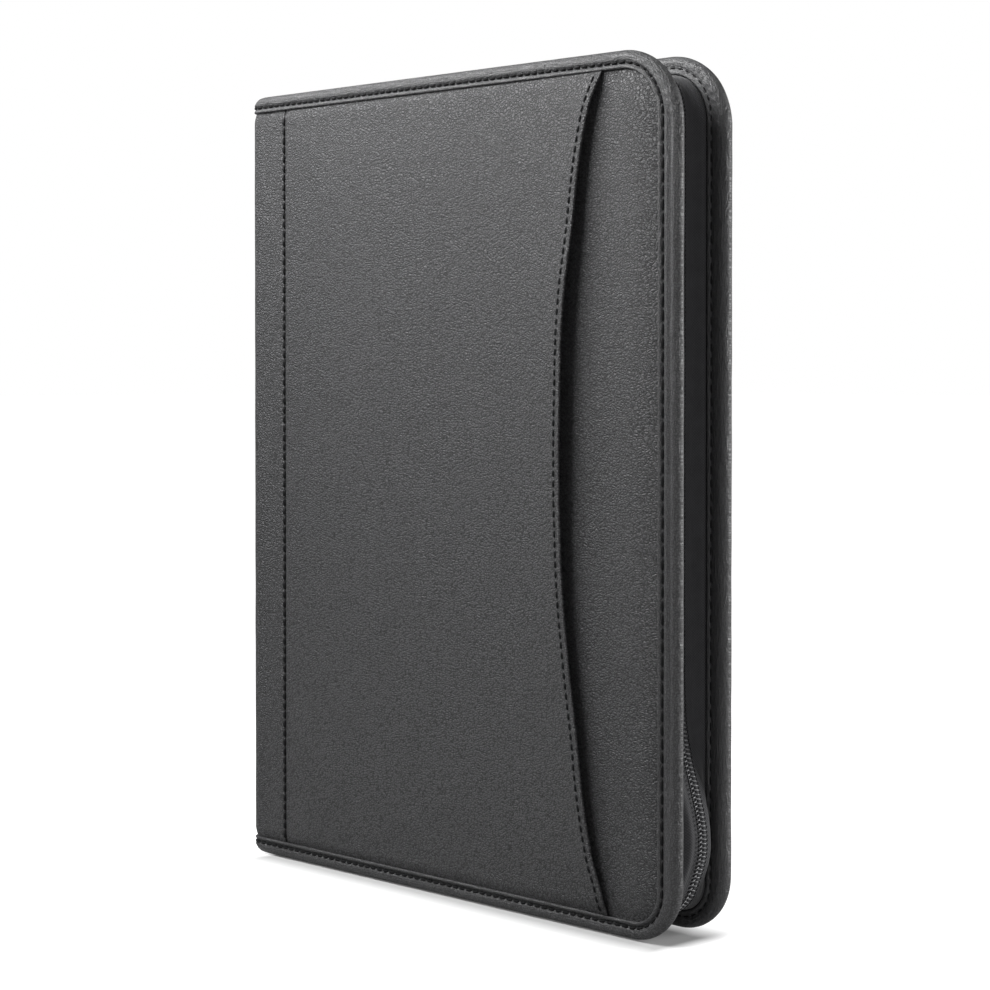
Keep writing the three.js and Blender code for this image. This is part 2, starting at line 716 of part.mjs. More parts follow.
// A flat sheet inside a cover, with two rounded corners at the opening edge
function insideSheet(x0, x1, z0, z1, radius, yLow, thickness) {
  const s = new THREE.Shape();
  const r = Math.max(1, radius);
  s.moveTo(x0, z0);
  s.lineTo(x1 - r, z0);
  s.absarc(x1 - r, z0 + r, r, -Math.PI / 2, 0, false);
  s.lineTo(x1, z1);
  s.lineTo(x0, z1);
  const g = new THREE.ExtrudeGeometry(s, { depth: thickness, bevelEnabled: false, curveSegments: 8 });
  g.rotateX(Math.PI / 2);
  g.translate(0, yLow + thickness, 0);
  return g;
}

const insideRight = halfWidth - BINDING_SIDE - POCKET_INSET;
const insideLow = BINDING_END + POCKET_INSET;
const liningY = halfDepth - LINING_DEPTH - LINING;

// Back cover inside: card of the pad slipped behind a panel, paper in front
const cardY = liningY - GAP - PAD_CARD;
add("pad_card", block(-padWidth / 2, padWidth / 2, cardY, cardY + PAD_CARD, PAD_FOOT, PAD_FOOT + padHeight), 0x9a8f7c, 0.9);
const padPanelY = cardY - GAP - SHEET;
const padPanelTop = PAD_FOOT + padHeight - PAD_SLOT_DROP;
add(
  "pad_panel",
  insideSheet(hingeX + 4, insideRight, insideLow, padPanelTop, CORNER_BOTTOM_INNER - POCKET_INSET, padPanelY, SHEET),
  0x1f1f22, 0.75,
);
const paperY = padPanelY - GAP - PAD_PAPER;
add(
  "pad_paper",
  block(-padWidth / 2, padWidth / 2, paperY, paperY + PAD_PAPER, PAD_FOOT, PAD_FOOT + padHeight),
  0xf2f1ea, 0.9,
);
{
  const s = new THREE.Shape();
  const top = PAD_FOOT + padHeight + GAP;
  const y0 = paperY - GAP;
  s.moveTo(y0 - HEAD_TAPE, top - HEAD_TAPE_FALL);
  s.lineTo(y0, top - HEAD_TAPE_FALL);
  s.lineTo(y0, top);
  s.lineTo(cardY + PAD_CARD, top);
  s.lineTo(cardY + PAD_CARD, top + HEAD_TAPE);
  s.lineTo(y0 - HEAD_TAPE, top + HEAD_TAPE);
  const g = new THREE.ExtrudeGeometry(s, { depth: padWidth, bevelEnabled: false });
  g.rotateX(Math.PI / 2);
  g.rotateZ(Math.PI / 2);
  g.translate(-padWidth / 2, 0, 0);
  add("pad_head_tape", g, 0x2a3348, 0.8);
}

// Front cover inside: a document pocket with card pockets stepped above it
const docY = -(liningY - GAP);
add(
  "document_pocket",
  insideSheet(hingeX + 4, insideRight, insideLow, CASE_HEIGHT * DOCUMENT_SHARE, CORNER_BOTTOM_INNER - POCKET_INSET, docY, SHEET),
  0x1f1f22, 0.75,
);
for (let i = 0; i < 3; i++) {
  const y = docY + (SHEET + GAP) * (i + 1);
  const z = CASE_HEIGHT * DOCUMENT_SHARE - SLOT_DROP - SLOT_HEIGHT - i * SLOT_STEP;
  add(
    "card_pocket_" + (i + 1),
    insideSheet(-SLOT_WIDTH - 4, -4, z, z + SLOT_HEIGHT, 3, y, SHEET),
    0x1f1f22, 0.75,
  );
}

// Centre the case on its footprint, standing on Z = 0
const bounds = new THREE.Box3().setFromObject(group);
const centre = bounds.getCenter(new THREE.Vector3());
for (const mesh of group.children) mesh.position.sub(new THREE.Vector3(centre.x, centre.y, bounds.min.z));

export default group;
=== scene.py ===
"""Zip-around writing case, standing upright on its bottom edge, spine to the left."""
import math

import bmesh
import bpy
import numpy as np
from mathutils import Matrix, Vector, noise


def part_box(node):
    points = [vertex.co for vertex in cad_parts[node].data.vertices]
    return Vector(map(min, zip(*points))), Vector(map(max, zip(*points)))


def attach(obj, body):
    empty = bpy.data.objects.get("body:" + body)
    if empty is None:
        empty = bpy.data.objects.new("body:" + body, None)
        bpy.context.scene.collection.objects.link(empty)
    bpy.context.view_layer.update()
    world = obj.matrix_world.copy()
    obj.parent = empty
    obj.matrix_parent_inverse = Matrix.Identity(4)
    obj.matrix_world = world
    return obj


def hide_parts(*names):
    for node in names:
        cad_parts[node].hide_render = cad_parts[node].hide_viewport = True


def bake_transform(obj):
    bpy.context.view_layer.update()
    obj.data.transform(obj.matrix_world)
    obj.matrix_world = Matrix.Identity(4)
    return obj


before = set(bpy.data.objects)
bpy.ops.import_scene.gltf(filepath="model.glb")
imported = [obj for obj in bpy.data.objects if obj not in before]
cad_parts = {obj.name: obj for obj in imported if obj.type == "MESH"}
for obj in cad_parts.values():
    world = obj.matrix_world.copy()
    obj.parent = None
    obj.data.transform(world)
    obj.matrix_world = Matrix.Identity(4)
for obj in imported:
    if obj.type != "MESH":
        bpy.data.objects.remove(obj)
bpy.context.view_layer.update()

# Studio: the case stands on a white sweep, lit by a near key lamp above at the left, a
# large rim lamp behind at the right, and weak top and fill lamps. The camera stands off
# the opening edge at mid-height and sees the front cover at about 46 degrees.
mm = 0.001
WHITE = (1, 1, 1, 1)
CAMERA_PLACE = (721.1, -684.02, 221.87)
CAMERA_YAW = 45.831
CAMERA_PITCH = -0.931
CAMERA_LENS = 85.519
CAMERA_SHIFT = -0.09

view = bpy.data.cameras.new("photograph")
view.lens = CAMERA_LENS
view.sensor_width = 36
view.shift_y = CAMERA_SHIFT
view.clip_end = 100
camera = bpy.data.objects.new("photograph", view)
camera.location = [v * mm for v in CAMERA_PLACE]
camera.rotation_euler = (math.radians(90 + CAMERA_PITCH), 0, math.radians(CAMERA_YAW))
bpy.context.scene.collection.objects.link(camera)
bpy.context.scene.camera = camera
bpy.context.scene.view_settings.view_transform = "Standard"


def soft_lamp(name, place, target, size, power):
    """A rectangular lamp aimed at a point, with places and sizes in metres."""
    data = bpy.data.lights.new(name, "AREA")
    data.shape = "RECTANGLE"
    data.size, data.size_y = size
    data.energy = power
    lamp = bpy.data.objects.new(name, data)
    lamp.location = place
    aim = Vector(target) - Vector(place)
    lamp.rotation_euler = aim.to_track_quat("-Z", "Y").to_euler()
    bpy.context.scene.collection.objects.link(lamp)


soft_lamp("key_lamp", (-0.16, -0.3, 0.575), (0, 0, 0.24), (0.45, 0.25), 7.2)
soft_lamp("rim_lamp", (0.9, 0.98, 0.32), (0.1, 0, 0.2), (0.45, 0.9), 20)
soft_lamp("top_lamp", (-0.1, 0.3, 1.3), (0, 0, 0.2), (1.0, 0.6), 3)
soft_lamp("fill_lamp", (1.25, -0.5, 0.45), (0.1, 0, 0.15), (0.9, 0.9), 4.2)


def node(tree, kind, feeds=(), **settings):
    """A shader node with its settings, and its inputs set or linked by name."""
    made = tree.nodes.new("ShaderNode" + kind)
    for key, value in settings.items():
        setattr(made, key, value)
    for label, value in dict(feeds).items():
        socket = made.inputs[label]
        if isinstance(value, bpy.types.NodeSocket):
            tree.links.new(value, socket)
        else:
            socket.default_value = value
    return made


def math_node(tree, operation, first, second=0.0, third=0.0, clamp=False):
    made = node(tree, "Math", {0: first, 1: second, 2: third}, operation=operation)
    made.use_clamp = clamp
    return made.outputs[0]


def vector_math(tree, operation, first, *others):
    feeds = dict(enumerate((first,) + others))
    return node(tree, "VectorMath", feeds, operation=operation).outputs[0]


def scaled(tree, vector, by):
    return node(tree, "VectorMath", {0: vector, "Scale": by}, operation="SCALE").outputs[0]


def noise_value(tree, place, scale, detail):
    feeds = {"Vector": place, "Scale": scale, "Detail": detail}
    return node(tree, "TexNoise", feeds).outputs["Fac"]


def ramp(tree, value, low, high, to_low=0.0, to_high=1.0, smooth=True):
    """Value carried from the range low to high over to another range."""
    feeds = {"Value": value, "From Min": low, "From Max": high}
    feeds.update({"To Min": to_low, "To Max": to_high})
    kind = "SMOOTHSTEP" if smooth else "LINEAR"
    return node(tree, "MapRange", feeds, interpolation_type=kind).outputs["Result"]


def seen_and_shiny(tree, gloss):
    """1 for what the camera sees directly, and a share for what it sees mirrored."""
    rays = node(tree, "LightPath").outputs
    seen = math_node(tree, "MAXIMUM", rays["Is Camera Ray"], rays["Is Transmission Ray"])
    return seen, math_node(tree, "MULTIPLY", rays["Is Glossy Ray"], gloss)


AMBIENT = 0.05
SKY_GLOSS = 0.06


def sky_world():
    """Weak even room light that the camera sees as plain white."""
    world = bpy.data.worlds.new("studio_room")
    world.use_nodes = True
    tree = world.node_tree
    tree.nodes.clear()
    seen, shiny = seen_and_shiny(tree, SKY_GLOSS)
    strength = math_node(tree, "MAXIMUM", ramp(tree, seen, 0, 1, AMBIENT, 1.0), shiny)
    background = node(tree, "Background", {"Color": WHITE, "Strength": strength})
    node(tree, "OutputWorld", {"Surface": background.outputs[0]})
    return world


bpy.context.scene.world = sky_world()

SWEEP_SIZE = 30.0
SWEEP_DROP = 0.0002
SWEEP_COLOUR = (0.38, 0.38, 0.38, 1)
SWEEP_GLOSS = 0.25
SWEEP_CLEAR = (-0.002, 0.02)
CASE_FOOT = (0.004, -0.004, 0)
CASE_HALF = (0.118, 0.0125, 0.1)
ACROSS_FASTER = (2.2, 1, 1)


def sweep_material():
    """White paper, lifted to plain white for the camera away from the case."""
    material = bpy.data.materials.new("white_sweep")
    material.use_nodes = True
    tree = material.node_tree
    tree.nodes.clear()
    outward = node(tree, "NewGeometry").outputs["Position"]
    outward = vector_math(tree, "SUBTRACT", outward, CASE_FOOT)
    outward = vector_math(tree, "ABSOLUTE", outward)
    outward = vector_math(tree, "SUBTRACT", outward, CASE_HALF)
    outward = vector_math(tree, "MAXIMUM", outward, (0, 0, 0))
    outward = vector_math(tree, "MULTIPLY", outward, ACROSS_FASTER)
    distance = node(tree, "VectorMath", {0: outward}, operation="LENGTH").outputs["Value"]
    seen, shiny = seen_and_shiny(tree, SWEEP_GLOSS)
    seen = math_node(tree, "MAXIMUM", seen, shiny)
    clear = ramp(tree, distance, *SWEEP_CLEAR, smooth=False)
    lift = math_node(tree, "MULTIPLY", clear, seen)
    paper = node(tree, "BsdfDiffuse", {"Color": SWEEP_COLOUR})
    glow = node(tree, "Emission", {"Color": WHITE, "Strength": lift})
    both = node(tree, "AddShader", {0: paper.outputs[0], 1: glow.outputs[0]})
    node(tree, "OutputMaterial", {"Surface": both.outputs[0]})
    return material


half_sweep = SWEEP_SIZE / 2
sweep_corners = [
    (half_sweep * x, half_sweep * y, -SWEEP_DROP) for x, y in ((-1, -1), (1, -1), (1, 1), (-1, 1))
]
sweep_mesh = bpy.data.meshes.new("white_sweep")
sweep_mesh.from_pydata(sweep_corners, [], [(0, 1, 2, 3)])
sweep_mesh.materials.append(sweep_material())
sweep = bpy.data.objects.new("white_sweep", sweep_mesh)
bpy.context.scene.collection.objects.link(sweep)

# Boards: pressed grey board that stiffens both covers and the spine. The three plates
# lie between the padding and the lining, and the binding holds the covers' edges.
# Their faces and outlines are the frame's own solids, with a small worn edge.
spine_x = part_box("spine_leather")[0].x / mm
opening_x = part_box("front_binding")[1].x / mm
front_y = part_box("front_spine_strip")[0].y / mm
back_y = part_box("back_spine_strip")[1].y / mm
case_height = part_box("front_binding")[1].z / mm
cover_depth = (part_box("front_binding")[1].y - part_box("front_binding")[0].y) / mm
seam_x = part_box("front_spine_strip")[1].x / mm
middle_y = (front_y + back_y) / 2
half_depth = (back_y - front_y) / 2
hinge_x = spine_x + cover_depth
FRONT = -1
BACK = 1
SIDES = ((FRONT, "front"), (BACK, "back"))
BOARD_COLOUR = (0.33, 0.3, 0.26, 1)


def shader_group(name, inputs, outputs):
    """An empty node group with named sockets, and its two end nodes."""
    tree = bpy.data.node_groups.new(name, "ShaderNodeTree")
    for label, kind, value in inputs:
        socket = tree.interface.new_socket(name=label, in_out="INPUT", socket_type="NodeSocket" + kind)
        if value is not None:
            socket.default_value = value
    for label, kind in outputs:
        tree.interface.new_socket(name=label, in_out="OUTPUT", socket_type="NodeSocket" + kind)
    return tree, tree.nodes.new("NodeGroupInput").outputs, tree.nodes.new("NodeGroupOutput").inputs


def put_out(tree, result, **values):
    for label, value in values.items():
        tree.links.new(value, result[label])


def place_group(tree, group, feeds):
    return node(tree, "Group", feeds, node_tree=group).outputs


def pressed_fibre_group():
    """Short matted fibres with darker specks, as in card and board. Vector is in mm."""
    tree, given, result = shader_group(
        "pressed_fibre",
        [("Vector", "Vector", None), ("Colour", "Color", (0.5, 0.5, 0.5, 1)), ("Specks", "Float", 0.3)],
        [("Colour", "Color"), ("Height", "Float")],
    )
    stretched = vector_math(tree, "MULTIPLY", given["Vector"], (0.7, 0.7, 0.12))
    fibre = noise_value(tree, stretched, 1.6, 6.0)
    cloud = noise_value(tree, given["Vector"], 0.05, 3.0)
    fleck = node(tree, "TexVoronoi", {"Vector": given["Vector"], "Scale": 0.55})
    speck = ramp(tree, fleck.outputs["Distance"], 0.02, 0.16, 1.0, 0.0)
    tone = math_node(tree, "MULTIPLY_ADD", fibre, 0.35, 0.72)
    tone = math_node(tree, "MULTIPLY_ADD", cloud, 0.18, tone)
    tone = math_node(tree, "SUBTRACT", tone, math_node(tree, "MULTIPLY", speck, given["Specks"]))
    put_out(tree, result, Colour=scaled(tree, given["Colour"], tone), Height=fibre)
    return tree


pressed_fibre = pressed_fibre_group()


def solid_place(tree):
    """Place in the solid, in millimetres, for pieces without a surface chart."""
    return scaled(tree, node(tree, "TexCoord").outputs["Object"], 1 / mm)


def start_material(name, roughness, metallic=0.0, specular=0.5):
    """A material with an empty Principled shader joined to its output."""
    material = bpy.data.materials.new(name)
    material.use_nodes = True
    tree = material.node_tree
    tree.nodes.clear()
    feeds = {"Roughness": roughness, "Metallic": metallic, "Specular IOR Level": specular}
    shader = node(tree, "BsdfPrincipled", feeds)
    node(tree, "OutputMaterial", {"Surface": shader.outputs[0]})
    return material, tree, shader.inputs


def relief(tree, height, depth, over=None):
    """Normal from a height that counts for depth millimetres."""
    feeds = {"Height": height, "Distance": depth * mm, "Strength": 1.0}
    if over is not None:
        feeds["Normal"] = over
    return node(tree, "Bump", feeds).outputs["Normal"]


def join(tree, shader, colour, normal, roughness=None):
    """Links a colour, a normal and perhaps a roughness to a shader's sockets."""
    tree.links.new(colour, shader["Base Color"])
    tree.links.new(normal, shader["Normal"])
    if roughness is not None:
        tree.links.new(roughness, shader["Roughness"])


def fibre_material(name, colour, specks, depth):
    material, tree, shader = start_material(name, 0.92, specular=0.25)
    feeds = {"Vector": solid_place(tree), "Colour": colour, "Specks": specks}
    fibres = place_group(tree, pressed_fibre, feeds)
    join(tree, shader, fibres["Colour"], relief(tree, fibres["Height"], depth))
    return material


def finish_solid(name, material, edge):
    """Gives a solid of the frame its material and a softened edge."""
    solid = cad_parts[name]
    solid.data.materials.clear()
    solid.data.materials.append(material)
    bevel = solid.modifiers.new("worn_edge", "BEVEL")
    bevel.width = edge * mm
    bevel.segments = 2
    bevel.limit_method = "ANGLE"
    bevel.angle_limit = math.radians(40)
    bevel.harden_normals = True


board_material = fibre_material("pressed_board", BOARD_COLOUR, 0.25, 0.12)
for board in ("front_board", "back_board", "spine_board"):
    finish_solid(board, board_material, 0.2)

# Padding: a thin sheet of open foam glued on each board and skived down to nothing all
# round, so that the leather rises softly from the binding to a flat middle. The front
# one is fuller beside the opening edge. Shut in under the leather, it shows nowhere.
BINDING_SIDE = 9.7
BINDING_END = 7.4
CORNER_TOP = 30
CORNER_BOTTOM = 24
CORNER_TOP_INNER = 19
CORNER_BOTTOM_INNER = 13
CLEARANCE = 0.3
PADDING_RISE = 1.1
PADDING_RUN = 34
PANEL_CROWN = 1.9
CROWN_RUN = 10
CROWN_FADE = (20, 37)
LEATHER_DEPTH = 1.3
LEATHER = 1.0
BOARD_TOP = 2.9
LEAST_BOARD_GAP = 0.4
PADDING_LEFT = 8
FOAM_REACH = -0.8
FOAM_COLOUR = (0.72, 0.7, 0.64, 1)
FOAM_PORE_SHADE_COLOUR = (0.42, 0.39, 0.33, 1)


def level(face, depth):
    """Y of a point at a depth under the outer face of a cover."""
    return middle_y + face * (half_depth - depth)


def smooth_step(low, high, value):
    t = np.clip((np.asarray(value, float) - low) / (high - low), 0, 1)
    return t * t * (3 - 2 * t)


def inside_by(x, z, left, side, end, low_radius, high_radius):
    """How far a point lies inside a cover's outline that is drawn in by side and end."""
    x, z = np.broadcast_arrays(np.asarray(x, float), np.asarray(z, float))
    right = opening_x - side
    mid_z = case_height / 2
    radius = np.where(z > mid_z, high_radius, low_radius)
    radius = np.where(x < (left + right) / 2, 0.5, radius)
    across = np.abs(x - (left + right) / 2) - ((right - left) / 2 - radius)
    up = np.abs(z - mid_z) - (case_height / 2 - end - radius)
    outside = np.hypot(np.maximum(across, 0), np.maximum(up, 0))
    return radius - outside - np.minimum(np.maximum(across, up), 0)


def window_inset(x, z):
    return inside_by(
        x, z, seam_x + CLEARANCE, BINDING_SIDE + CLEARANCE, BINDING_END + CLEARANCE,
        CORNER_BOTTOM_INNER, CORNER_TOP_INNER,
    )


def padding(inset):
    return PADDING_RISE * np.sin(np.pi / 2 * np.clip(inset / PADDING_RUN, 0, 1))


def edge_crown(x, z):
    """The fuller padding between the pocket's mouth and the opening edge."""
    rise = np.sin(np.pi / 2 * np.clip(window_inset(x, z) / CROWN_RUN, 0, 1))
    return PANEL_CROWN * rise * (1 - smooth_step(*CROWN_FADE, opening_x - x))


def right_edge(z, side, end, low_radius, high_radius):
    """X of a cover's outline at a height, with its two round corners."""
    z = np.asarray(z, float)
    low = np.clip(end + low_radius - z, 0, low_radius)
    high = np.clip(z - (case_height - end - high_radius), 0, high_radius)
    cut = low_radius - np.sqrt(low_radius**2 - low**2)
    cut = cut + high_radius - np.sqrt(high_radius**2 - high**2)
    return opening_x - side - cut


def mixed(share, inner, outer):
    return inner + (outer - inner) * share


def spread_rows(low, high, count, gather=0.6):
    """Heights from low to high, closer together at both ends."""
    t = np.linspace(0, 1, count)
    eased = (1 - np.cos(np.pi * t)) / 2
    return low + (high - low) * (t * (1 - gather) + eased * gather)


def lattice(rows, cols, close_rows=False, close_cols=False):
    """Quads over a grid of points, joined up at the ends where asked."""
    r = np.arange(rows if close_rows else rows - 1)
    c = np.arange(cols if close_cols else cols - 1)
    r, c = np.meshgrid(r, c, indexing="ij")
    below = (r + 1) % rows
    beside = (c + 1) % cols
    quads = np.stack([r * cols + c, r * cols + beside, below * cols + beside, below * cols + c], -1)
    return quads.reshape(-1, 4)


def make_piece(name, points, faces, chart=None):
    """A smooth mesh from points in mm, with an optional surface chart, also in mm."""
    mesh = bpy.data.meshes.new(name)
    points = np.asarray(points, float).reshape(-1, 3)
    mesh.from_pydata((points * mm).tolist(), [], [list(map(int, f)) for f in faces])
    mesh.polygons.foreach_set("use_smooth", [True] * len(mesh.polygons))
    if chart is not None:
        corner = np.zeros(len(mesh.loops), np.int64)
        mesh.loops.foreach_get("vertex_index", corner)
        layer = mesh.uv_layers.new(name="surface")
        layer.data.foreach_set("uv", np.asarray(chart, float).reshape(-1, 2)[corner].ravel())
    mesh.validate()
    piece = bpy.data.objects.new(name, mesh)
    bpy.context.scene.collection.objects.link(piece)
    return piece


def facing_out(piece):
    """Turns the faces outwards."""
    work = bmesh.new()
    work.from_mesh(piece.data)
    bmesh.ops.recalc_face_normals(work, faces=work.faces)
    work.to_mesh(piece.data)
    work.free()
    return piece


def sheet_piece(name, outer, inner, chart):
    """A closed sheet between two grids of points, with one chart for both sides."""
    outer = np.asarray(outer, float)
    inner = np.asarray(inner, float)
    rows, cols = outer.shape[:2]
    half = rows * cols
    top = lattice(rows, cols)
    low = top[:, ::-1] + half
    rim = np.concatenate([
        np.arange(cols), np.arange(1, rows) * cols + cols - 1,
        half - 1 - np.arange(1, cols), np.arange(rows - 2, 0, -1) * cols,
    ])
    ahead = np.roll(rim, -1)
    wall = np.stack([ahead, rim, rim + half, ahead + half], -1)
    points = np.concatenate([outer.reshape(-1, 3), inner.reshape(-1, 3)])
    charts = np.concatenate([np.asarray(chart, float).reshape(-1, 2)] * 2)
    return facing_out(make_piece(name, points, np.concatenate([top, low, wall]), charts))


def layered(name, x, outer_y, inner_y, z):
    """A closed sheet over a grid of x and z, from the places of its two sides in y."""
    outer = np.stack([x, outer_y, z], -1)
    inner = np.stack([x, inner_y, z], -1)
    return sheet_piece(name, outer, inner, np.stack([x, z], -1))


def cover_sheet(name, face, share, left, top_depth, under_depth, rows, cols):
    """A sheet over a whole cover, out to a share of the binding's width.

    top_depth and under_depth give the depth of its two sides at x and z.
    """
    side = mixed(share, BINDING_SIDE, 0)
    end = mixed(share, BINDING_END, 0)
    low_radius = mixed(share, CORNER_BOTTOM_INNER, CORNER_BOTTOM)
    high_radius = mixed(share, CORNER_TOP_INNER, CORNER_TOP)
    z = spread_rows(end, case_height - end, rows)
    right = right_edge(z, side, end, low_radius, high_radius)
    t = spread_rows(0, 1, cols)
    x = left + (right[:, None] - left) * t[None, :]
    z = np.repeat(z[:, None], cols, 1)
    return layered(name, x, level(face, top_depth(x, z)), level(face, under_depth(x, z)), z)


def colour_mix(tree, share, first, second):
    """The first colour, mixed with a share of the second."""
    feeds = {"Factor": share, 6: first, 7: second}
    return node(tree, "Mix", feeds, data_type="RGBA").outputs[2]


def open_cell_material():
    """Pale foam with open cells about half a millimetre across, darker in the cells as painted shade.
    """
    material, tree, shader = start_material("open_foam", 0.95, specular=0.2)
    place = solid_place(tree)
    cells = node(tree, "TexVoronoi", {"Vector": place, "Scale": 1.9}).outputs["Distance"]
    clouds = noise_value(tree, place, 0.06, 2.0)
    pore = ramp(tree, cells, 0.1, 0.75)
    # Painted shade: the recessed cells are coloured darker; the clouds are the foam's own uneven tone.
    share = math_node(tree, "MULTIPLY_ADD", clouds, 0.25, pore, clamp=True)
    colour = colour_mix(tree, share, FOAM_COLOUR, FOAM_PORE_SHADE_COLOUR)
    join(tree, shader, colour, relief(tree, pore, -0.2))
    return material


foam_material = open_cell_material()


def foam_top(x, z):
    return LEATHER_DEPTH + LEATHER + CLEARANCE - padding(window_inset(x, z))


def front_foam_top(x, z):
    return foam_top(x, z) - edge_crown(x, z)


for face, side in SIDES:
    foam_face = front_foam_top if face == FRONT else foam_top
    foam = cover_sheet(
        side + "_padding", face, FOAM_REACH, seam_x + PADDING_LEFT,
        lambda x, z: np.minimum(foam_face(x, z), BOARD_TOP - LEAST_BOARD_GAP),
        lambda x, z: np.full_like(x, BOARD_TOP - CLEARANCE),
        rows=60, cols=50,
    )
    foam.data.materials.append(foam_material)
    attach(foam, side + "_cover")
    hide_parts(side + "_foam")

# Linings: black woven cloth glued over the inside of both boards and of the spine, with
# its cut edges under the binding, and a strip of it turned over each board's edge at the
# hinge. It shows between the pockets when the case is open.
LINING_DEPTH = 4.7
LINING = 0.6
LINING_LEFT = 0.4
TURN_DEPTHS = (BOARD_TOP, 3.7, LINING_DEPTH + 0.3)
TURN_END = 2.2
TURN_OUTER = 0.2
TURN_INNER = 0.04
LAYER_REACH = 0.72
CLOTH_COLOUR = (0.018, 0.018, 0.02, 1)


def plain_weave_group():
    """Crossing threads with a soft slub, darker where they pass under as painted shade.
    Vector is in mm, Pitch is one thread's width.
    """
    tree, given, result = shader_group(
        "plain_weave",
        [
            ("Vector", "Vector", None), ("Colour", "Color", (0.02, 0.02, 0.02, 1)),
            ("Pitch", "Float", 0.5), ("Slub", "Float", 0.3),
        ],
        [("Colour", "Color"), ("Height", "Float"), ("Roughness", "Float")],
    )
    wander = math_node(tree, "MULTIPLY", noise_value(tree, given["Vector"], 0.4, 2.0), 0.25)
    parts = node(tree, "SeparateXYZ", {0: given["Vector"]}).outputs
    turn = math_node(tree, "DIVIDE", math.pi, given["Pitch"])
    warp = math_node(tree, "MULTIPLY", math_node(tree, "ADD", parts[0], wander), turn)
    weft = math_node(tree, "MULTIPLY", math_node(tree, "ADD", parts[1], parts[2]), turn)
    over = math_node(tree, "SINE", warp)
    under = math_node(tree, "SINE", weft)
    cross = math_node(tree, "MULTIPLY", over, under)
    height = math_node(tree, "MULTIPLY_ADD", cross, 0.5, 0.5)
    patch = math_node(tree, "SUBTRACT", noise_value(tree, given["Vector"], 0.15, 5.0), 0.5)
    # Painted shade: the colour is darker where a thread passes under; the slub patches are the cloth's
    # own tone.
    tone = math_node(tree, "MULTIPLY_ADD", height, 0.5, 0.65)
    tone = math_node(tree, "MULTIPLY_ADD", patch, given["Slub"], tone)
    shade = scaled(tree, given["Colour"], tone)
    rough = ramp(tree, height, 0, 1, 0.85, 0.7, smooth=False)
    put_out(tree, result, Colour=shade, Height=height, Roughness=rough)
    return tree


plain_weave = plain_weave_group()


def chart_place(tree):
    """Place on the surface chart, in millimetres."""
    return node(tree, "UVMap", uv_map="surface").outputs[0]


def woven_material(name, colour, pitch, depth, slub=0.4, charted=True):
    material, tree, shader = start_material(name, 0.8, specular=0.3)
    where = chart_place(tree) if charted else solid_place(tree)
    feeds = {"Vector": where, "Colour": colour, "Pitch": pitch, "Slub": slub}
    weave = place_group(tree, plain_weave, feeds)
    join(tree, shader, weave["Colour"], relief(tree, weave["Height"], depth), weave["Roughness"])
    shader["Sheen Weight"].default_value = 0.15
    shader["Sheen Roughness"].default_value = 0.5
    return material


lining_material = woven_material("lining_cloth", CLOTH_COLOUR, 0.45, 0.06)


def ripple(x, z, size, seed):
    """A slow, even unevenness over a surface, between about -1 and 1."""
    place = np.stack(np.broadcast_arrays(x, z, np.full_like(x, seed)), -1).reshape(-1, 3) / size
    values = [noise.noise(Vector(p)) for p in place]
    return np.array(values).reshape(np.shape(x))


for face, side in SIDES:
    lining_left = hinge_x + LINING_LEFT
    lining = cover_sheet(
        side + "_lining_cloth", face, LAYER_REACH, lining_left,
        lambda x, z: LINING_DEPTH + 0.05 * ripple(x, z, 25, 1.5),
        lambda x, z: LINING_DEPTH + LINING + 0.1 * ripple(x, z, 25, 3.5),
        rows=70, cols=60,
    )
    lining.data.materials.append(lining_material)
    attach(lining, side + "_cover")
    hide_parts(side + "_lining")
    edge_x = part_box(side + "_board")[0].x / mm
    turn_rows = spread_rows(TURN_END, case_height - TURN_END, 30)
    turn_depth, turn_z = np.meshgrid(TURN_DEPTHS, turn_rows)
    turn_y = level(face, turn_depth)
    lining_turn = sheet_piece(
        side + "_lining_turn",
        np.stack([np.full_like(turn_y, edge_x - TURN_OUTER), turn_y, turn_z], -1),
        np.stack([np.full_like(turn_y, edge_x - TURN_INNER), turn_y, turn_z], -1),
        np.stack([turn_depth, turn_z], -1),
    )
    lining_turn.data.materials.append(lining_material)
    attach(lining_turn, side + "_cover")

spine_low, spine_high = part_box("spine_lining")
across = np.linspace(spine_low.y, spine_high.y, 14) / mm
up = spread_rows(spine_low.z / mm, spine_high.z / mm, 80)
across, up = np.meshgrid(across, up)
spine_cloth = sheet_piece(
    "spine_lining_cloth",
    np.stack([np.full_like(across, spine_low.x / mm), across, up], -1),
    np.stack([spine_high.x / mm + 0.08 * ripple(across, up, 12, 2.5), across, up], -1),
    np.stack([across, up], -1),
)
spine_cloth.data.materials.append(lining_material)
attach(spine_cloth, "spine")
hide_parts("spine_lining")

# Cover panels: pebble-grained black leather over the padding, one panel to each cover.
# Both are sewn to the spine leather at the seam, and their other edges run in under the
# binding. The front one shows only to the right of the pocket's mouth.
LEATHER_COLOUR = (0.034, 0.034, 0.036, 1)
PEBBLE = 1.25
PANEL_REACH = 0.5
SEAM_ROLL = 0.85
PANEL_ROLL_RUN = 0.7
SEAM_GAP = 0.005


def cell_edges(tree, place, scale):
    """Distance to the nearest edge between cells."""
    feeds = {"Vector": place, "Scale": scale}
    return node(tree, "TexVoronoi", feeds, feature="DISTANCE_TO_EDGE").outputs["Distance"]


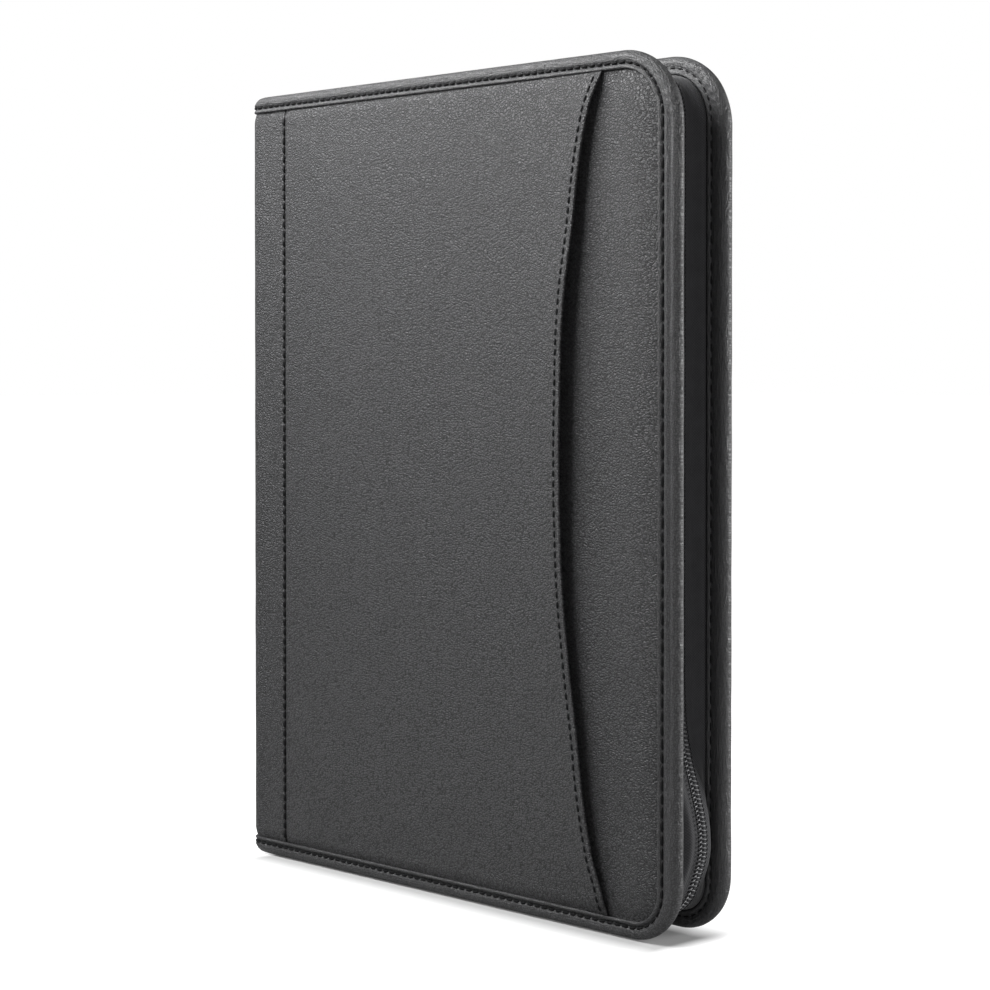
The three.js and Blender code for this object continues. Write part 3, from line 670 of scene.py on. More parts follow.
def pebble_grain_group():
    """Raised pebbles with fine creases between them and a few long creases.

    Vector is in mm. Pebble is the size of one. Height is from 0 to about 1. The colour
    is darker in the creases, as painted shade.
    """
    tree, given, result = shader_group(
        "pebble_grain",
        [
            ("Vector", "Vector", None), ("Colour", "Color", (0.05, 0.05, 0.05, 1)),
            ("Pebble", "Float", 1.3), ("Long Creases", "Float", 0.2), ("Gloss", "Float", 0.45),
        ],
        [("Colour", "Color"), ("Height", "Float"), ("Roughness", "Float")],
    )
    feeds = {"Vector": given["Vector"], "Scale": 0.5, "Detail": 2.0}
    bend = node(tree, "TexNoise", feeds).outputs["Color"]
    bend = vector_math(tree, "SUBTRACT", bend, (0.5, 0.5, 0.5))
    bend = vector_math(tree, "MULTIPLY_ADD", bend, (1.5, 1.5, 1.5), given["Vector"])
    bend = vector_math(tree, "MULTIPLY", bend, (0.84, 1.0, 1.0))
    size = math_node(tree, "DIVIDE", 1.0, given["Pebble"])
    crown = ramp(tree, cell_edges(tree, bend, size), 0.0, 0.24)
    fine = ramp(tree, cell_edges(tree, bend, math_node(tree, "MULTIPLY", size, 1.9)), 0.0, 0.2)
    pore = noise_value(tree, given["Vector"], 3.2, 3.0)
    wide = noise_value(tree, given["Vector"], 0.16, 3.0)
    far = vector_math(tree, "MULTIPLY", bend, (0.1, 0.1, 0.1))
    crease = ramp(tree, cell_edges(tree, far, 1.0), 0.0, 0.05, 1.0, 0.0)
    crease = math_node(tree, "MULTIPLY", crease, ramp(tree, wide, 0.42, 0.62))
    height = math_node(tree, "MULTIPLY_ADD", crown, 0.72, math_node(tree, "MULTIPLY", fine, 0.2))
    height = math_node(tree, "MULTIPLY", height, ramp(tree, wide, 0.25, 0.75, 0.92, 1.06))
    height = math_node(tree, "MULTIPLY_ADD", pore, 0.1, height)
    crease = math_node(tree, "MULTIPLY", crease, given["Long Creases"])
    height = math_node(tree, "SUBTRACT", height, crease)
    # Painted shade: the colour follows the relief, darker in the creases between pebbles and along the
    # long creases.
    tone = math_node(tree, "MULTIPLY_ADD", crown, 0.75, math_node(tree, "MULTIPLY", height, 0.25))
    tone = ramp(tree, tone, 0.05, 0.95, 0.3, 1.16, smooth=False)
    tone = math_node(tree, "MULTIPLY", tone, ramp(tree, wide, 0.2, 0.8, 0.97, 1.03, smooth=False))
    rough = ramp(tree, height, 0.0, 1.0, 1.5, 0.95, smooth=False)
    rough = math_node(tree, "MULTIPLY", given["Gloss"], rough)
    shade = scaled(tree, given["Colour"], tone)
    put_out(tree, result, Colour=shade, Height=height, Roughness=rough)
    return tree


pebble_grain = pebble_grain_group()


def grained_material(name, colour, pebble, depth, roughness, creases=0.2):
    material, tree, shader = start_material(name, roughness, specular=0.5)
    feeds = {"Vector": chart_place(tree), "Colour": colour, "Pebble": pebble}
    feeds.update({"Long Creases": creases, "Gloss": roughness})
    grain = place_group(tree, pebble_grain, feeds)
    join(tree, shader, grain["Colour"], relief(tree, grain["Height"], depth), grain["Roughness"])
    return material


leather_material = grained_material("pebbled_leather", LEATHER_COLOUR, PEBBLE, 0.36, 0.46)


def panel_depth(x, z):
    """Depth of the panel's grain side: padded, and rolled in along the seam."""
    roll = SEAM_ROLL * np.exp(-np.maximum(x - seam_x - CLEARANCE, 0) / PANEL_ROLL_RUN)
    swell = 0.12 * ripple(x, z, 55, 0.5) * smooth_step(2, 20, window_inset(x, z))
    return LEATHER_DEPTH - padding(window_inset(x, z)) + roll - swell


def front_panel_depth(x, z):
    return panel_depth(x, z) - edge_crown(x, z)


for face, side in SIDES:
    grain_side = front_panel_depth if face == FRONT else panel_depth
    panel = cover_sheet(
        side + "_panel_leather", face, PANEL_REACH, seam_x + SEAM_GAP, grain_side,
        lambda x, z: np.minimum(grain_side(x, z) + LEATHER, BOARD_TOP - LEAST_BOARD_GAP),
        rows=150, cols=110,
    )
    panel.data.materials.append(leather_material)
    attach(panel, side + "_cover")
    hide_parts(side + "_panel")

# Spine leather: one strip of the same leather, wrapped round the spine and seamed to both
# panels. Each half is one piece from its seam round the fold to the middle of the spine.
# It goes in under the binding at the top and the bottom.
TUCK_DEPTH = 1.15
TUCK_RUN = 4.5
TUCK_UNDER = 2.5
STRIP_HOLLOW = 0.3
STRIP_ROLL_RUN = 0.6
STRIP_LEATHER = 0.9
STRIP_DEEPEST = 2.3
spine_flat = half_depth - cover_depth
fold_end = spine_flat + cover_depth * math.pi / 2
seam_along = fold_end + seam_x - hinge_x


def end_tuck(z):
    """How deep leather dips where it passes under the binding at top and bottom."""
    near = np.minimum(z, case_height - z) - BINDING_END
    return TUCK_DEPTH * (1 - smooth_step(-0.6, TUCK_RUN, near) ** 0.6)


def wrap_point(along, depth, face):
    """Point on the path from the spine's middle round the fold and over a cover.

    along is the length from the middle, depth is measured inwards from the outer face.
    """
    along, depth = np.broadcast_arrays(np.asarray(along, float), np.asarray(depth, float))
    angle = np.clip((along - spine_flat) / cover_depth, 0, np.pi / 2)
    radius = cover_depth - depth
    on_spine = np.minimum(along, spine_flat)
    on_cover = np.maximum(along - fold_end, 0)
    x = hinge_x - radius * np.cos(angle) + on_cover
    y = middle_y + face * (on_spine + radius * np.sin(angle))
    return x, y


def fold_blend(piece, face):
    """Bakes a piece's transform into its mesh, for either face alike."""
    if face == FRONT:
        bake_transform(piece)
    else:
        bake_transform(piece)


for face, side in SIDES:
    along = np.concatenate([
        [0, 0.03], np.linspace(0.3, spine_flat, 12)[:-1],
        np.linspace(spine_flat, fold_end, 22)[:-1],
        np.linspace(fold_end, seam_along - 1.5, 26)[:-1],
        np.linspace(seam_along - 1.5, seam_along - SEAM_GAP, 10),
    ])
    z = spread_rows(BINDING_END - TUCK_UNDER, case_height - BINDING_END + TUCK_UNDER, 170, 0.5)
    along, z = np.meshgrid(along, z)
    strip_share = np.clip((along - fold_end) / (seam_along - fold_end), 0, 1)
    depth = end_tuck(z) + STRIP_HOLLOW * np.sin(np.pi * strip_share**0.8) ** 2
    depth += SEAM_ROLL * np.exp(-(seam_along - along) / STRIP_ROLL_RUN)
    depth += 0.1 * ripple(along, z, 16, 4.5) * smooth_step(0, 12, along)
    x, y = wrap_point(along, depth, face)
    x_in, y_in = wrap_point(along, np.minimum(depth + STRIP_LEATHER, STRIP_DEEPEST), face)
    strip = sheet_piece(
        side + "_spine_wrap", np.stack([x, y, z], -1), np.stack([x_in, y_in, z], -1),
        np.stack([face * along, z], -1),
    )
    strip.data.materials.append(leather_material)
    fold_blend(strip, face)
    if face == FRONT:
        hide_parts("front_spine_strip", "front_fold", "spine_leather")
    else:
        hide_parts("back_spine_strip", "back_fold")

# Front pocket: a second leather panel laid over the front cover, sewn in at the spine
# seam and under the binding at the top and the bottom. Its free edge is a long curve,
# folded back and stitched, and it stands off the cover, so that the mouth gapes.
MOUTH_LIFT = 6.8
MOUTH_RUN = 78
HEM = 1.5
HEM_WIDTH = 4.0
HEM_STITCH = 2.9
BURIED_LEATHER = 0.16
STITCH_PITCH = 4.0
# Height as a share of the case's, distance from the opening edge, and share of the lift
MOUTH_LINE = (
    (0.0232, 35.7, 0.05), (0.04, 36.1, 0.36), (0.088, 40.5, 0.62), (0.158, 45.0, 0.72),
    (0.225, 48.0, 0.76), (0.305, 51.9, 0.81), (0.362, 54.1, 0.86), (0.42, 55.5, 0.9),
    (0.493, 56.2, 0.93), (0.565, 56.0, 0.97), (0.667, 55.0, 1.0), (0.732, 53.3, 0.95),
    (0.797, 50.3, 0.83), (0.87, 47.3, 0.73), (0.934, 43.2, 0.57), (0.974, 39.3, 0.14),
    (0.9775, 39.1, 0.06),
)


def flowing(knots, values, at):
    """A smooth curve through values at their knots, read at other places."""
    knots = np.asarray(knots, float)
    values = np.asarray(values, float)
    steps = np.diff(knots)
    slopes = np.diff(values) / steps
    lean = np.zeros(len(knots))
    lean[0] = slopes[0]
    lean[-1] = slopes[-1]
    same = slopes[:-1] * slopes[1:] > 0
    mean = 2 * slopes[:-1] * slopes[1:] / np.where(same, slopes[:-1] + slopes[1:], 1)
    lean[1:-1] = np.where(same, mean, 0)
    at = np.clip(at, knots[0], knots[-1])
    i = np.clip(np.searchsorted(knots, at) - 1, 0, len(steps) - 1)
    t = (at - knots[i]) / steps[i]
    start = (1 + 2 * t) * (1 - t) ** 2 * values[i] + t * (1 - t) ** 2 * steps[i] * lean[i]
    finish = t * t * (3 - 2 * t) * values[i + 1] + t * t * (t - 1) * steps[i] * lean[i + 1]
    return start + finish


mouth_heights = [m[0] * case_height for m in MOUTH_LINE]


def mouth_edge(z):
    return opening_x - flowing(mouth_heights, [m[1] for m in MOUTH_LINE], z)


def mouth_lift(z):
    return MOUTH_LIFT * flowing(mouth_heights, [m[2] for m in MOUTH_LINE], z)


def pocket_stand(x, z):
    """How far the pocket's grain side stands in front of the cover's outer face."""
    edge = mouth_edge(z)
    flat = padding(window_inset(x, z))
    lift = np.maximum(mouth_lift(z) - padding(window_inset(edge, z)), 0)
    s = np.clip((x - edge + MOUTH_RUN) / MOUTH_RUN, 0, 1)
    sway = 0.22 * ripple(np.zeros_like(z), z, 34, 6.5) * smooth_step(0.5, 1, s)
    roll = SEAM_ROLL * np.exp(-np.maximum(x - seam_x - CLEARANCE, 0) / STRIP_ROLL_RUN)
    swell = 0.1 * ripple(x, z, 60, 8.5) * smooth_step(4, 24, window_inset(x, z))
    return flat + lift * s**2.2 - end_tuck(z) - roll + swell + sway * np.minimum(lift, 1)


pocket_end = BINDING_END - TUCK_UNDER + 0.6
pocket_z = np.linspace(pocket_end, case_height - pocket_end, 430)
pocket_edge = mouth_edge(pocket_z)
pocket_left = seam_x + SEAM_GAP
# Distances from the mouth's edge, closest at the hem's stitches and its round edge
hem_near = np.array([
    4.2, 3.9, 3.5, 3.2, 3.0, 2.8, 2.6, 2.4, 2.1, 1.7, 1.3, 0.95, 0.7, 0.5, 0.33, 0.2, 0.1, 0.03, 0.0,
])
field = spread_rows(0, 1, 56, 0.5)[:-1]
field_x = pocket_left + (pocket_edge[:, None] - hem_near[0] - pocket_left) * field[None, :]
hem_x = pocket_edge[:, None] - hem_near[None, :]
pocket_x = np.concatenate([field_x, hem_x], 1)
grid_z = np.repeat(pocket_z[:, None], pocket_x.shape[1], 1)
stand = pocket_stand(pocket_x, grid_z)
from_edge = pocket_edge[:, None] - pocket_x
half_hem = HEM / 2
turned = np.clip(half_hem - from_edge, 0, half_hem)
edge_round = half_hem - np.sqrt(np.maximum(half_hem**2 - turned**2, 0))
groove = 0.22 * np.exp(-((from_edge - HEM_STITCH) / 0.45) ** 2)
groove *= 0.55 + 0.45 * np.cos(2 * np.pi * grid_z / STITCH_PITCH)
proud = 0.12 * smooth_step(HEM_WIDTH + 1.0, HEM_WIDTH - 1.4, from_edge)
hemmed = smooth_step(HEM_WIDTH + 0.5, HEM_WIDTH - 0.3, from_edge)
thick = LEATHER - 0.1 + (HEM - LEATHER + 0.1) * hemmed
buried = smooth_step(BINDING_END + 3.0, BINDING_END, np.minimum(grid_z, case_height - grid_z))
thick = thick * (1 - buried) + BURIED_LEATHER * buried
pocket_out = level(FRONT, -(stand + proud - groove - edge_round))
pocket_in = level(FRONT, -(stand + proud - thick + edge_round))
pocket = layered("pocket_leather", pocket_x, pocket_out, pocket_in, grid_z)
pocket.data.materials.append(leather_material)
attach(pocket, "front_cover")
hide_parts("front_pocket")


def thread_material():
    """Matt black thread: two plies twisted together, darker between them as painted shade."""
    material, tree, shader = start_material("black_thread", 0.6, specular=0.12)
    parts = node(tree, "SeparateXYZ", {0: chart_place(tree)}).outputs
    twist = math_node(tree, "MULTIPLY_ADD", parts[0], 9.0, math_node(tree, "MULTIPLY", parts[1], 6.0))
    ply = math_node(tree, "MULTIPLY_ADD", math_node(tree, "SINE", twist), 0.5, 0.5)
    fuzz = noise_value(tree, solid_place(tree), 3.0, 2.0)
    # Painted shade: darker in the groove between the plies; the fuzz is the thread's own uneven tone.
    tone = math_node(tree, "MULTIPLY_ADD", ply, 0.5, math_node(tree, "MULTIPLY", fuzz, 0.6))
    roughness = ramp(tree, fuzz, 0.2, 0.8, 0.55, 0.75)
    join(tree, shader, scaled(tree, THREAD_COLOUR, tone), relief(tree, ply, 0.08), roughness)
    return material


THREAD_COLOUR = (0.012, 0.012, 0.013)
black_thread = thread_material()
# Place along a stitch and thickness there, as shares of half its length and its radius
STITCH_RINGS = (
    (-1.0, 0.2), (-0.9, 0.62), (-0.62, 0.95), (-0.2, 1.0), (0.2, 1.0), (0.62, 0.95), (0.9, 0.62),
    (1.0, 0.2),
)
STITCH_SIDES = 8
STITCH_DIVE = 0.9


def summed(steps):
    """Length from the start at each point of a path, from the steps between them."""
    return np.concatenate([[0], np.cumsum(steps)])


def tube_faces(rings, sides):
    """Faces of a tube over rings of points, closed at both ends."""
    last = (rings - 1) * sides
    ends = [list(range(sides)), [last + i for i in reversed(range(sides))]]
    return lattice(rings, sides, close_cols=True).tolist() + ends


def read_along(places, lengths, values):
    """Rows of values, given at lengths along a line, read at other places on it."""
    return np.stack([np.interp(places, lengths, values[:, k]) for k in range(3)], -1)


def sew(name, line, outward, length, radius, sink, pitch=STITCH_PITCH, slant=0.0, lengths=None):
    """A row of thread stitches along a line of surface points.

    outward holds the surface's direction at each point of the line, and lengths the
    length along the line that the pitch is counted in, where it isn't the real one.
    """
    if lengths is None:
        lengths = summed(np.linalg.norm(np.diff(line, axis=0), axis=1))
    marks = np.arange(pitch / 2, lengths[-1] - pitch / 4, pitch)
    step = pitch * 0.3
    here = read_along(marks, lengths, line)
    direction = read_along(marks + step, lengths, line) - read_along(marks - step, lengths, line)
    span = np.linalg.norm(direction, axis=1)
    direction /= span[:, None]
    stretch = span / (2 * step)
    up = read_along(marks, lengths, outward)
    up -= direction * (up * direction).sum(1)[:, None]
    up /= np.linalg.norm(up, axis=1)[:, None]
    side = np.cross(direction, up)
    run = direction * math.cos(slant) + side * math.sin(slant)
    side = np.cross(run, up)
    angle = np.arange(STITCH_SIDES) * 2 * np.pi / STITCH_SIDES
    points, faces, chart = [], [], []
    stitch_faces = tube_faces(len(STITCH_RINGS), STITCH_SIDES)
    for k in range(len(here)):
        faces += [[len(points) + i for i in corners] for corners in stitch_faces]
        for place, fat in STITCH_RINGS:
            dive = radius * STITCH_DIVE * place**4
            ahead = place * length * stretch[k] / 2
            centre = here[k] + run[k] * ahead + up[k] * (radius * (1 - 2 * sink) - dive)
            for a in angle:
                points.append(centre + radius * fat * (side[k] * math.cos(a) + up[k] * math.sin(a)))
                chart.append((marks[k] + place * length / 2, a))
    row = facing_out(make_piece(name, points, faces, chart))
    row.data.materials.append(black_thread)
    return row


hem_z = np.linspace(BINDING_END + 1.0, case_height - BINDING_END - 1.0, 500)
hem_line_x = mouth_edge(hem_z) - HEM_STITCH
hem_y = level(FRONT, -(pocket_stand(hem_line_x, hem_z) + 0.05))
hem_line = np.stack([hem_line_x, hem_y, hem_z], -1)
hem_out = np.tile([0.28, -1.0, 0.0], (len(hem_z), 1))
hem_thread = sew("pocket_hem_thread", hem_line, hem_out, length=3.1, radius=0.55, sink=0.4)
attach(hem_thread, "front_cover")

SEAM_PITCH = 4.17
SEAM_THREAD_SIDE = 0.12
SEAM_THREAD_DEPTH = 0.3
seam_z = np.linspace(BINDING_END + 1.5, case_height - BINDING_END - 1.5, 300)
for face, side in SIDES:
    seam_y = level(face, SEAM_THREAD_DEPTH)
    seam_line = np.tile([seam_x + SEAM_THREAD_SIDE, seam_y, 0.0], (len(seam_z), 1))
    seam_line[:, 2] = seam_z
    seam_out = np.tile([0.0, float(face), 0.0], (len(seam_z), 1))
    seam_thread = sew(
        side + "_seam_thread", seam_line, seam_out, length=3.5, radius=0.7, sink=0.4, pitch=SEAM_PITCH
    )
    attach(seam_thread, side + "_cover")

# Edge binding: a strip of smoother leather folded over the cut edges of both covers and
# of the spine, sewn through from face to face. It runs on round the spine's folds, and
# it puckers a little at the round corners and wrinkles along the outer edge.
TRIM_COLOUR = (0.039, 0.039, 0.041, 1)
# Painted light: the inside colour is lighter than the trim's, standing in for light on the binding's
# shaded inner face.
INSIDE_PAINTED_LIGHT_COLOUR = (0.045, 0.045, 0.047, 1)
STITCH_INSET = 2.45


def wrinkle_group():
    """Fine wrinkles that run along the chart's first direction. Vector is in mm."""
    tree, given, result = shader_group(
        "edge_wrinkles",
        [("Vector", "Vector", None), ("Length", "Float", 6.0), ("Width", "Float", 0.8)],
        [("Height", "Float")],
    )
    slow = math_node(tree, "DIVIDE", 1.0, given["Length"])
    quick = math_node(tree, "DIVIDE", 1.0, given["Width"])
    scale = node(tree, "CombineXYZ", {0: slow, 1: quick, 2: 1.0})
    drawn = vector_math(tree, "MULTIPLY", given["Vector"], scale.outputs[0])
    feeds = {"Vector": drawn, "Scale": 1.0, "Detail": 4.0, "Distortion": 0.6}
    wave = node(tree, "TexNoise", feeds).outputs["Fac"]
    ridge = math_node(tree, "ABSOLUTE", math_node(tree, "SUBTRACT", wave, 0.5))
    put_out(tree, result, Height=ramp(tree, ridge, 0.0, 0.16))
    return tree


edge_wrinkles = wrinkle_group()


def stitch_pull_group():
    """Dimples where the thread pulls leather in along a line of the chart; Pull also serves as painted
    shade.
    """
    tree, given, result = shader_group(
        "stitch_pull",
        [
            ("Vector", "Vector", None), ("Line", "Float", 2.45), ("Pitch", "Float", 4.0),
            ("Reach", "Float", 1.3),
        ],
        [("Pull", "Float")],
    )
    parts = node(tree, "SeparateXYZ", {0: given["Vector"]}).outputs
    off = math_node(tree, "ABSOLUTE", math_node(tree, "SUBTRACT", parts[1], given["Line"]))
    near = ramp(tree, math_node(tree, "DIVIDE", off, given["Reach"]), 0.0, 1.0, 1.0, 0.0)
    beat = math_node(tree, "DIVIDE", parts[0], given["Pitch"])
    beat = math_node(tree, "FRACT", math_node(tree, "ADD", beat, 1000.0))
    beat = math_node(tree, "ABSOLUTE", math_node(tree, "SUBTRACT", beat, 0.5))
    hole = math_node(tree, "MULTIPLY_ADD", ramp(tree, beat, 0.18, 0.5), 0.6, 0.4)
    put_out(tree, result, Pull=math_node(tree, "MULTIPLY", near, hole))
    return tree


stitch_pull = stitch_pull_group()


def trim_material(name, colour, gloss, grain_share, stitch_shade_share):
    """Trim leather: how much grain shows in its colour, and how dark the painted stitch shade is."""
    material, tree, shader = start_material(name, gloss, specular=0.6)
    where = chart_place(tree)
    feeds = {"Vector": where, "Colour": colour, "Pebble": 0.7, "Long Creases": 0.2, "Gloss": gloss}
    grain = place_group(tree, pebble_grain, feeds)
    wrinkles = place_group(tree, edge_wrinkles, {"Vector": where, "Length": 5.0, "Width": 1.1})
    feeds = {"Vector": where, "Line": STITCH_INSET, "Pitch": STITCH_PITCH}
    pull = place_group(tree, stitch_pull, feeds)
    # Painted shade: the colour is darkened in the stitch dimples and holes.
    painted_stitch_shade = math_node(tree, "MULTIPLY_ADD", pull["Pull"], -stitch_shade_share, 1.0)
    tint = scaled(tree, colour_mix(tree, grain_share, colour, grain["Colour"]), painted_stitch_shade)
    normal = relief(tree, grain["Height"], 0.07)
    normal = relief(tree, wrinkles["Height"], 0.17, over=normal)
    normal = relief(tree, pull["Pull"], -0.3, over=normal)
    join(tree, shader, tint, normal, grain["Roughness"])
    return material


trim_leather = trim_material("trim_leather_fine", TRIM_COLOUR, 0.46, 1.0, 0.6)
# Painted light: a lighter copy of the trim leather for the inner face, with less grain and less painted
# stitch shade.
trim_inside_painted_light = trim_material("trim_leather_inside_painted_light", INSIDE_PAINTED_LIGHT_COLOUR, 0.42, 0.25, 0.15)


def cover_run(side_inset, end_inset, low_radius, high_radius):
    """Outline of a cover from the spine over the top, down the opening edge and back."""
    right = opening_x - side_inset
    top = case_height - end_inset
    low = end_inset
    top_x = np.linspace(hinge_x, right - high_radius, 110)
    side_z = np.linspace(top - high_radius, low + low_radius, 150)
    low_x = np.linspace(right - low_radius, hinge_x, 110)
    high_angle = np.linspace(np.pi / 2, 0, 40)[1:-1]
    low_angle = np.linspace(0, -np.pi / 2, 36)[1:-1]
    high_turn_x = right - high_radius + high_radius * np.cos(high_angle)
    high_turn_z = top - high_radius + high_radius * np.sin(high_angle)
    low_turn_x = right - low_radius + low_radius * np.cos(low_angle)
    low_turn_z = low + low_radius + low_radius * np.sin(low_angle)
    x = [top_x, high_turn_x, np.full_like(side_z, right), low_turn_x, low_x]
    z = [np.full_like(top_x, top), high_turn_z, side_z, low_turn_z, np.full_like(low_x, low)]
    return np.concatenate(x), np.concatenate(z)


inner_x, inner_z = cover_run(BINDING_SIDE, BINDING_END, CORNER_BOTTOM_INNER, CORNER_TOP_INNER)
outer_x, outer_z = cover_run(0, 0, CORNER_BOTTOM, CORNER_TOP)
SPINE_STATIONS = 10
FOLD_STATIONS = 14


def binding_frames(face):
    """Stations of the binding: inner point, direction to the edge, inward direction."""
    run = len(inner_x)
    base = np.stack([inner_x, np.full(run, level(face, 0)), inner_z], -1)
    reach = np.stack([outer_x - inner_x, np.zeros(run), outer_z - inner_z], -1)
    inward = np.tile([0.0, -float(face), 0.0], (run, 1))
    fold = np.linspace(0, np.pi / 2, FOLD_STATIONS + 2)[1:-1]
    flat = np.linspace(0, spine_flat, SPINE_STATIONS)
    ends = []
    for top in (True, False):
        z = case_height - BINDING_END if top else BINDING_END
        rise = BINDING_END if top else -BINDING_END
        x = np.concatenate([np.full_like(flat, spine_x), hinge_x - cover_depth * np.cos(fold)])
        y = np.concatenate([flat, spine_flat + cover_depth * np.sin(fold)])
        points = np.stack([x, middle_y + face * y, np.full_like(x, z)], -1)
        up = np.tile([0.0, 0.0, float(rise)], (len(points), 1))
        inwards = np.concatenate([
            np.tile([1.0, 0.0, 0.0], (len(flat), 1)),
            np.stack([np.cos(fold), -face * np.sin(fold), np.zeros_like(fold)], -1),
        ])
        ends.append((points, up, inwards))
    first, last = ends
    middle = (base, reach, inward)
    return [np.concatenate([first[i], middle[i], last[i][::-1]]) for i in range(3)]


# The outer face from the folded edge to the rim, as share of the width and depth
FACE_COURSE = (
    (0.0, 1.0), (0.0, 0.65), (0.012, 0.26), (0.035, 0.0), (0.075, -0.12), (0.115, -0.04),
    (0.155, 0.14), (0.2, 0.34), (0.23, 0.56), (0.26, 0.64), (0.29, 0.6), (0.33, 0.44), (0.38, 0.24),
    (0.44, 0.08), (0.5, 0.0), (0.57, -0.02), (0.64, 0.04), (0.71, 0.2), (0.78, 0.5), (0.85, 0.95),
    (0.91, 1.45), (0.95, 1.8), (0.98, 2.4), (1.0, 3.2),
)
# The inner face, from the rim back to its own folded edge
BACK_COURSE = (
    (0.995, 3.95), (0.975, 4.6), (0.94, 5.15), (0.89, 5.65), (0.83, 6.1), (0.76, 6.42),
    (0.68, 6.58), (0.6, 6.6), (0.52, 6.54), (0.44, 6.44), (0.36, 6.32), (0.29, 6.28), (0.22, 6.36),
    (0.15, 6.52), (0.09, 6.6), (0.04, 6.5), (0.01, 6.2), (0.0, 5.75),
)
# Inside the fold, where the cover's layers are held
HIDDEN_COURSE = ((0.4, 5.5), (0.8, 5.3), (0.88, 4.4), (0.88, 2.4), (0.8, 1.4), (0.4, 1.25))
END_DROP = 2.2
END_COVER = 0.52
# Stitches down the opening edge are longer than the others by this
SIDE_STITCH = 1.32
GROOVE_CENTRE = 0.6
GROOVE_DEPTH = 1.1
GROOVE_WIDTH = 0.09
PRESS_DEPTH = 0.16
PRESS_WIDTH = 0.5
PUCKER = 0.11
OPPOSITE_PUCKER = 1.6
FOLD_GAP = 0.25
STITCH_DEPTH = 0.62
INNER_STITCH_DEPTH = cover_depth - 0.4


def softened(row, width):
    """A row of values with its steps spread over a number of stations."""
    kernel = np.hanning(width)
    return np.convolve(row, kernel / kernel.sum(), mode="same")


def near_corner(base):
    """1 at the two round corners of the binding, falling to 0 along the straight runs."""
    high = base[:, 2] > case_height - CORNER_TOP - 8
    low = base[:, 2] < CORNER_BOTTOM + 8
    right = base[:, 0] > opening_x - CORNER_TOP - 6
    return softened((right & (high | low)) * 1.0, 21)


def binding_piece(face, side):
    """The binding of one cover and half the spine, with both faces of its stitches."""
    base, reach, inward = binding_frames(face)
    width = np.linalg.norm(reach, axis=1)
    stitch_points = base + reach * (STITCH_INSET / width)[:, None]
    steps = np.linalg.norm(np.diff(stitch_points, axis=0), axis=1)
    at_opening = base[:, 0] > opening_x - BINDING_SIDE - 0.5
    on_side = (np.abs(np.diff(base[:, 0])) < 1e-6) & at_opening[1:]
    along = summed(np.where(on_side, steps / SIDE_STITCH, steps))
    course = np.array(FACE_COURSE + BACK_COURSE + HIDDEN_COURSE)
    shares, depths = course.T
    corner = near_corner(base)
    groove_run = softened(at_opening * smooth_step(0.08, 0.25, base[:, 2] / case_height), 15)
    places = np.arange(len(course))
    outer = places < len(FACE_COURSE)
    inner = ~outer & (places < len(FACE_COURSE) + len(BACK_COURSE))
    opposed = outer * 1.0 - inner
    groove = np.exp(-((shares - GROOVE_CENTRE) / GROOVE_WIDTH) ** 2) * outer
    puckered = smooth_step(0.3, 0.5, shares) * (1 - smooth_step(0.78, 0.95, shares))
    puckered *= PUCKER * (outer - OPPOSITE_PUCKER * inner)
    amount = (0.07 + 0.12 * smooth_step(0.55, 0.8, shares)) * smooth_step(0.05, 0.2, shares)
    crosswise = np.abs(inward[:, 0]) > 1e-6
    in_fold = crosswise & (np.abs(inward[:, 1]) > 1e-6)
    rows = []
    for k in range(len(base)):
        s = along[k]
        depth = depths + GROOVE_DEPTH * groove_run[k] * groove
        pressed = PRESS_DEPTH * np.exp(-((shares * width[k] - STITCH_INSET) / PRESS_WIDTH) ** 2)
        swing = math.sin(s * 2.1 + 3.0 * noise.noise(Vector((s / 7, face * 3.0, 0.5))))
        rumple = [noise.noise(Vector((s / 10, v * 7.0, face * 2.0))) for v in shares]
        settle = np.array(rumple) * amount * smooth_step(0, 6, min(s, along[-1] - s))
        depth += opposed * (pressed + settle) + corner[k] * swing * puckered
        if in_fold[k]:
            depth = np.minimum(depth, cover_depth - FOLD_GAP)
        row = base[k] + reach[k] * shares[:, None] + inward[k] * depth[:, None]
        near_spine = 1 - smooth_step(0, 10, row[:, 0] - spine_x)
        drop = END_DROP * (1 - END_COVER * smooth_step(0.2, 1.2, depth))
        row[:, 2] -= np.sign(reach[k][2]) * drop * near_spine * smooth_step(0.3, 1.0, shares)
        rows.append(row)
    rows = np.array(rows)
    count, ring = rows.shape[:2]
    across_chart = np.where(outer | inner, shares, 0) * width[:, None]
    chart = np.stack(np.broadcast_arrays(along[:, None], across_chart), -1)
    faces = tube_faces(count, ring)
    piece = facing_out(make_piece(side + "_edge_binding", rows, faces, chart))
    piece.data.materials.append(trim_leather)
    piece.data.materials.append(trim_inside_painted_light)
    for polygon in piece.data.polygons[:count * ring - ring]:
        polygon.material_index = int(inner[polygon.index % ring])
    ends = set(range(ring)) | set(range((count - 1) * ring, count * ring))
    for edge in piece.data.edges:
        edge.use_edge_sharp = set(edge.vertices) <= ends
    fold_blend(piece, face)
    if face == FRONT:
        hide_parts("front_binding", "spine_binding_top")
    else:
        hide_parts("back_binding", "spine_binding_bottom")
    outer_row = stitch_points + inward * STITCH_DEPTH
    outer_thread = sew(
        side + "_binding_thread", outer_row, -inward, length=3.5, radius=0.56, sink=0.28, lengths=along
    )
    fold_blend(outer_thread, face)
    inner_row = (stitch_points + inward * INNER_STITCH_DEPTH)[~crosswise]
    inner_along = along[~crosswise]
    inner_thread = sew(
        side + "_inner_binding_thread", inner_row, inward[~crosswise], length=3.0,
        radius=0.3, sink=0.5, lengths=inner_along - inner_along[0],
    )
    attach(inner_thread, side + "_cover")


for face, side in SIDES:
    binding_piece(face, side)

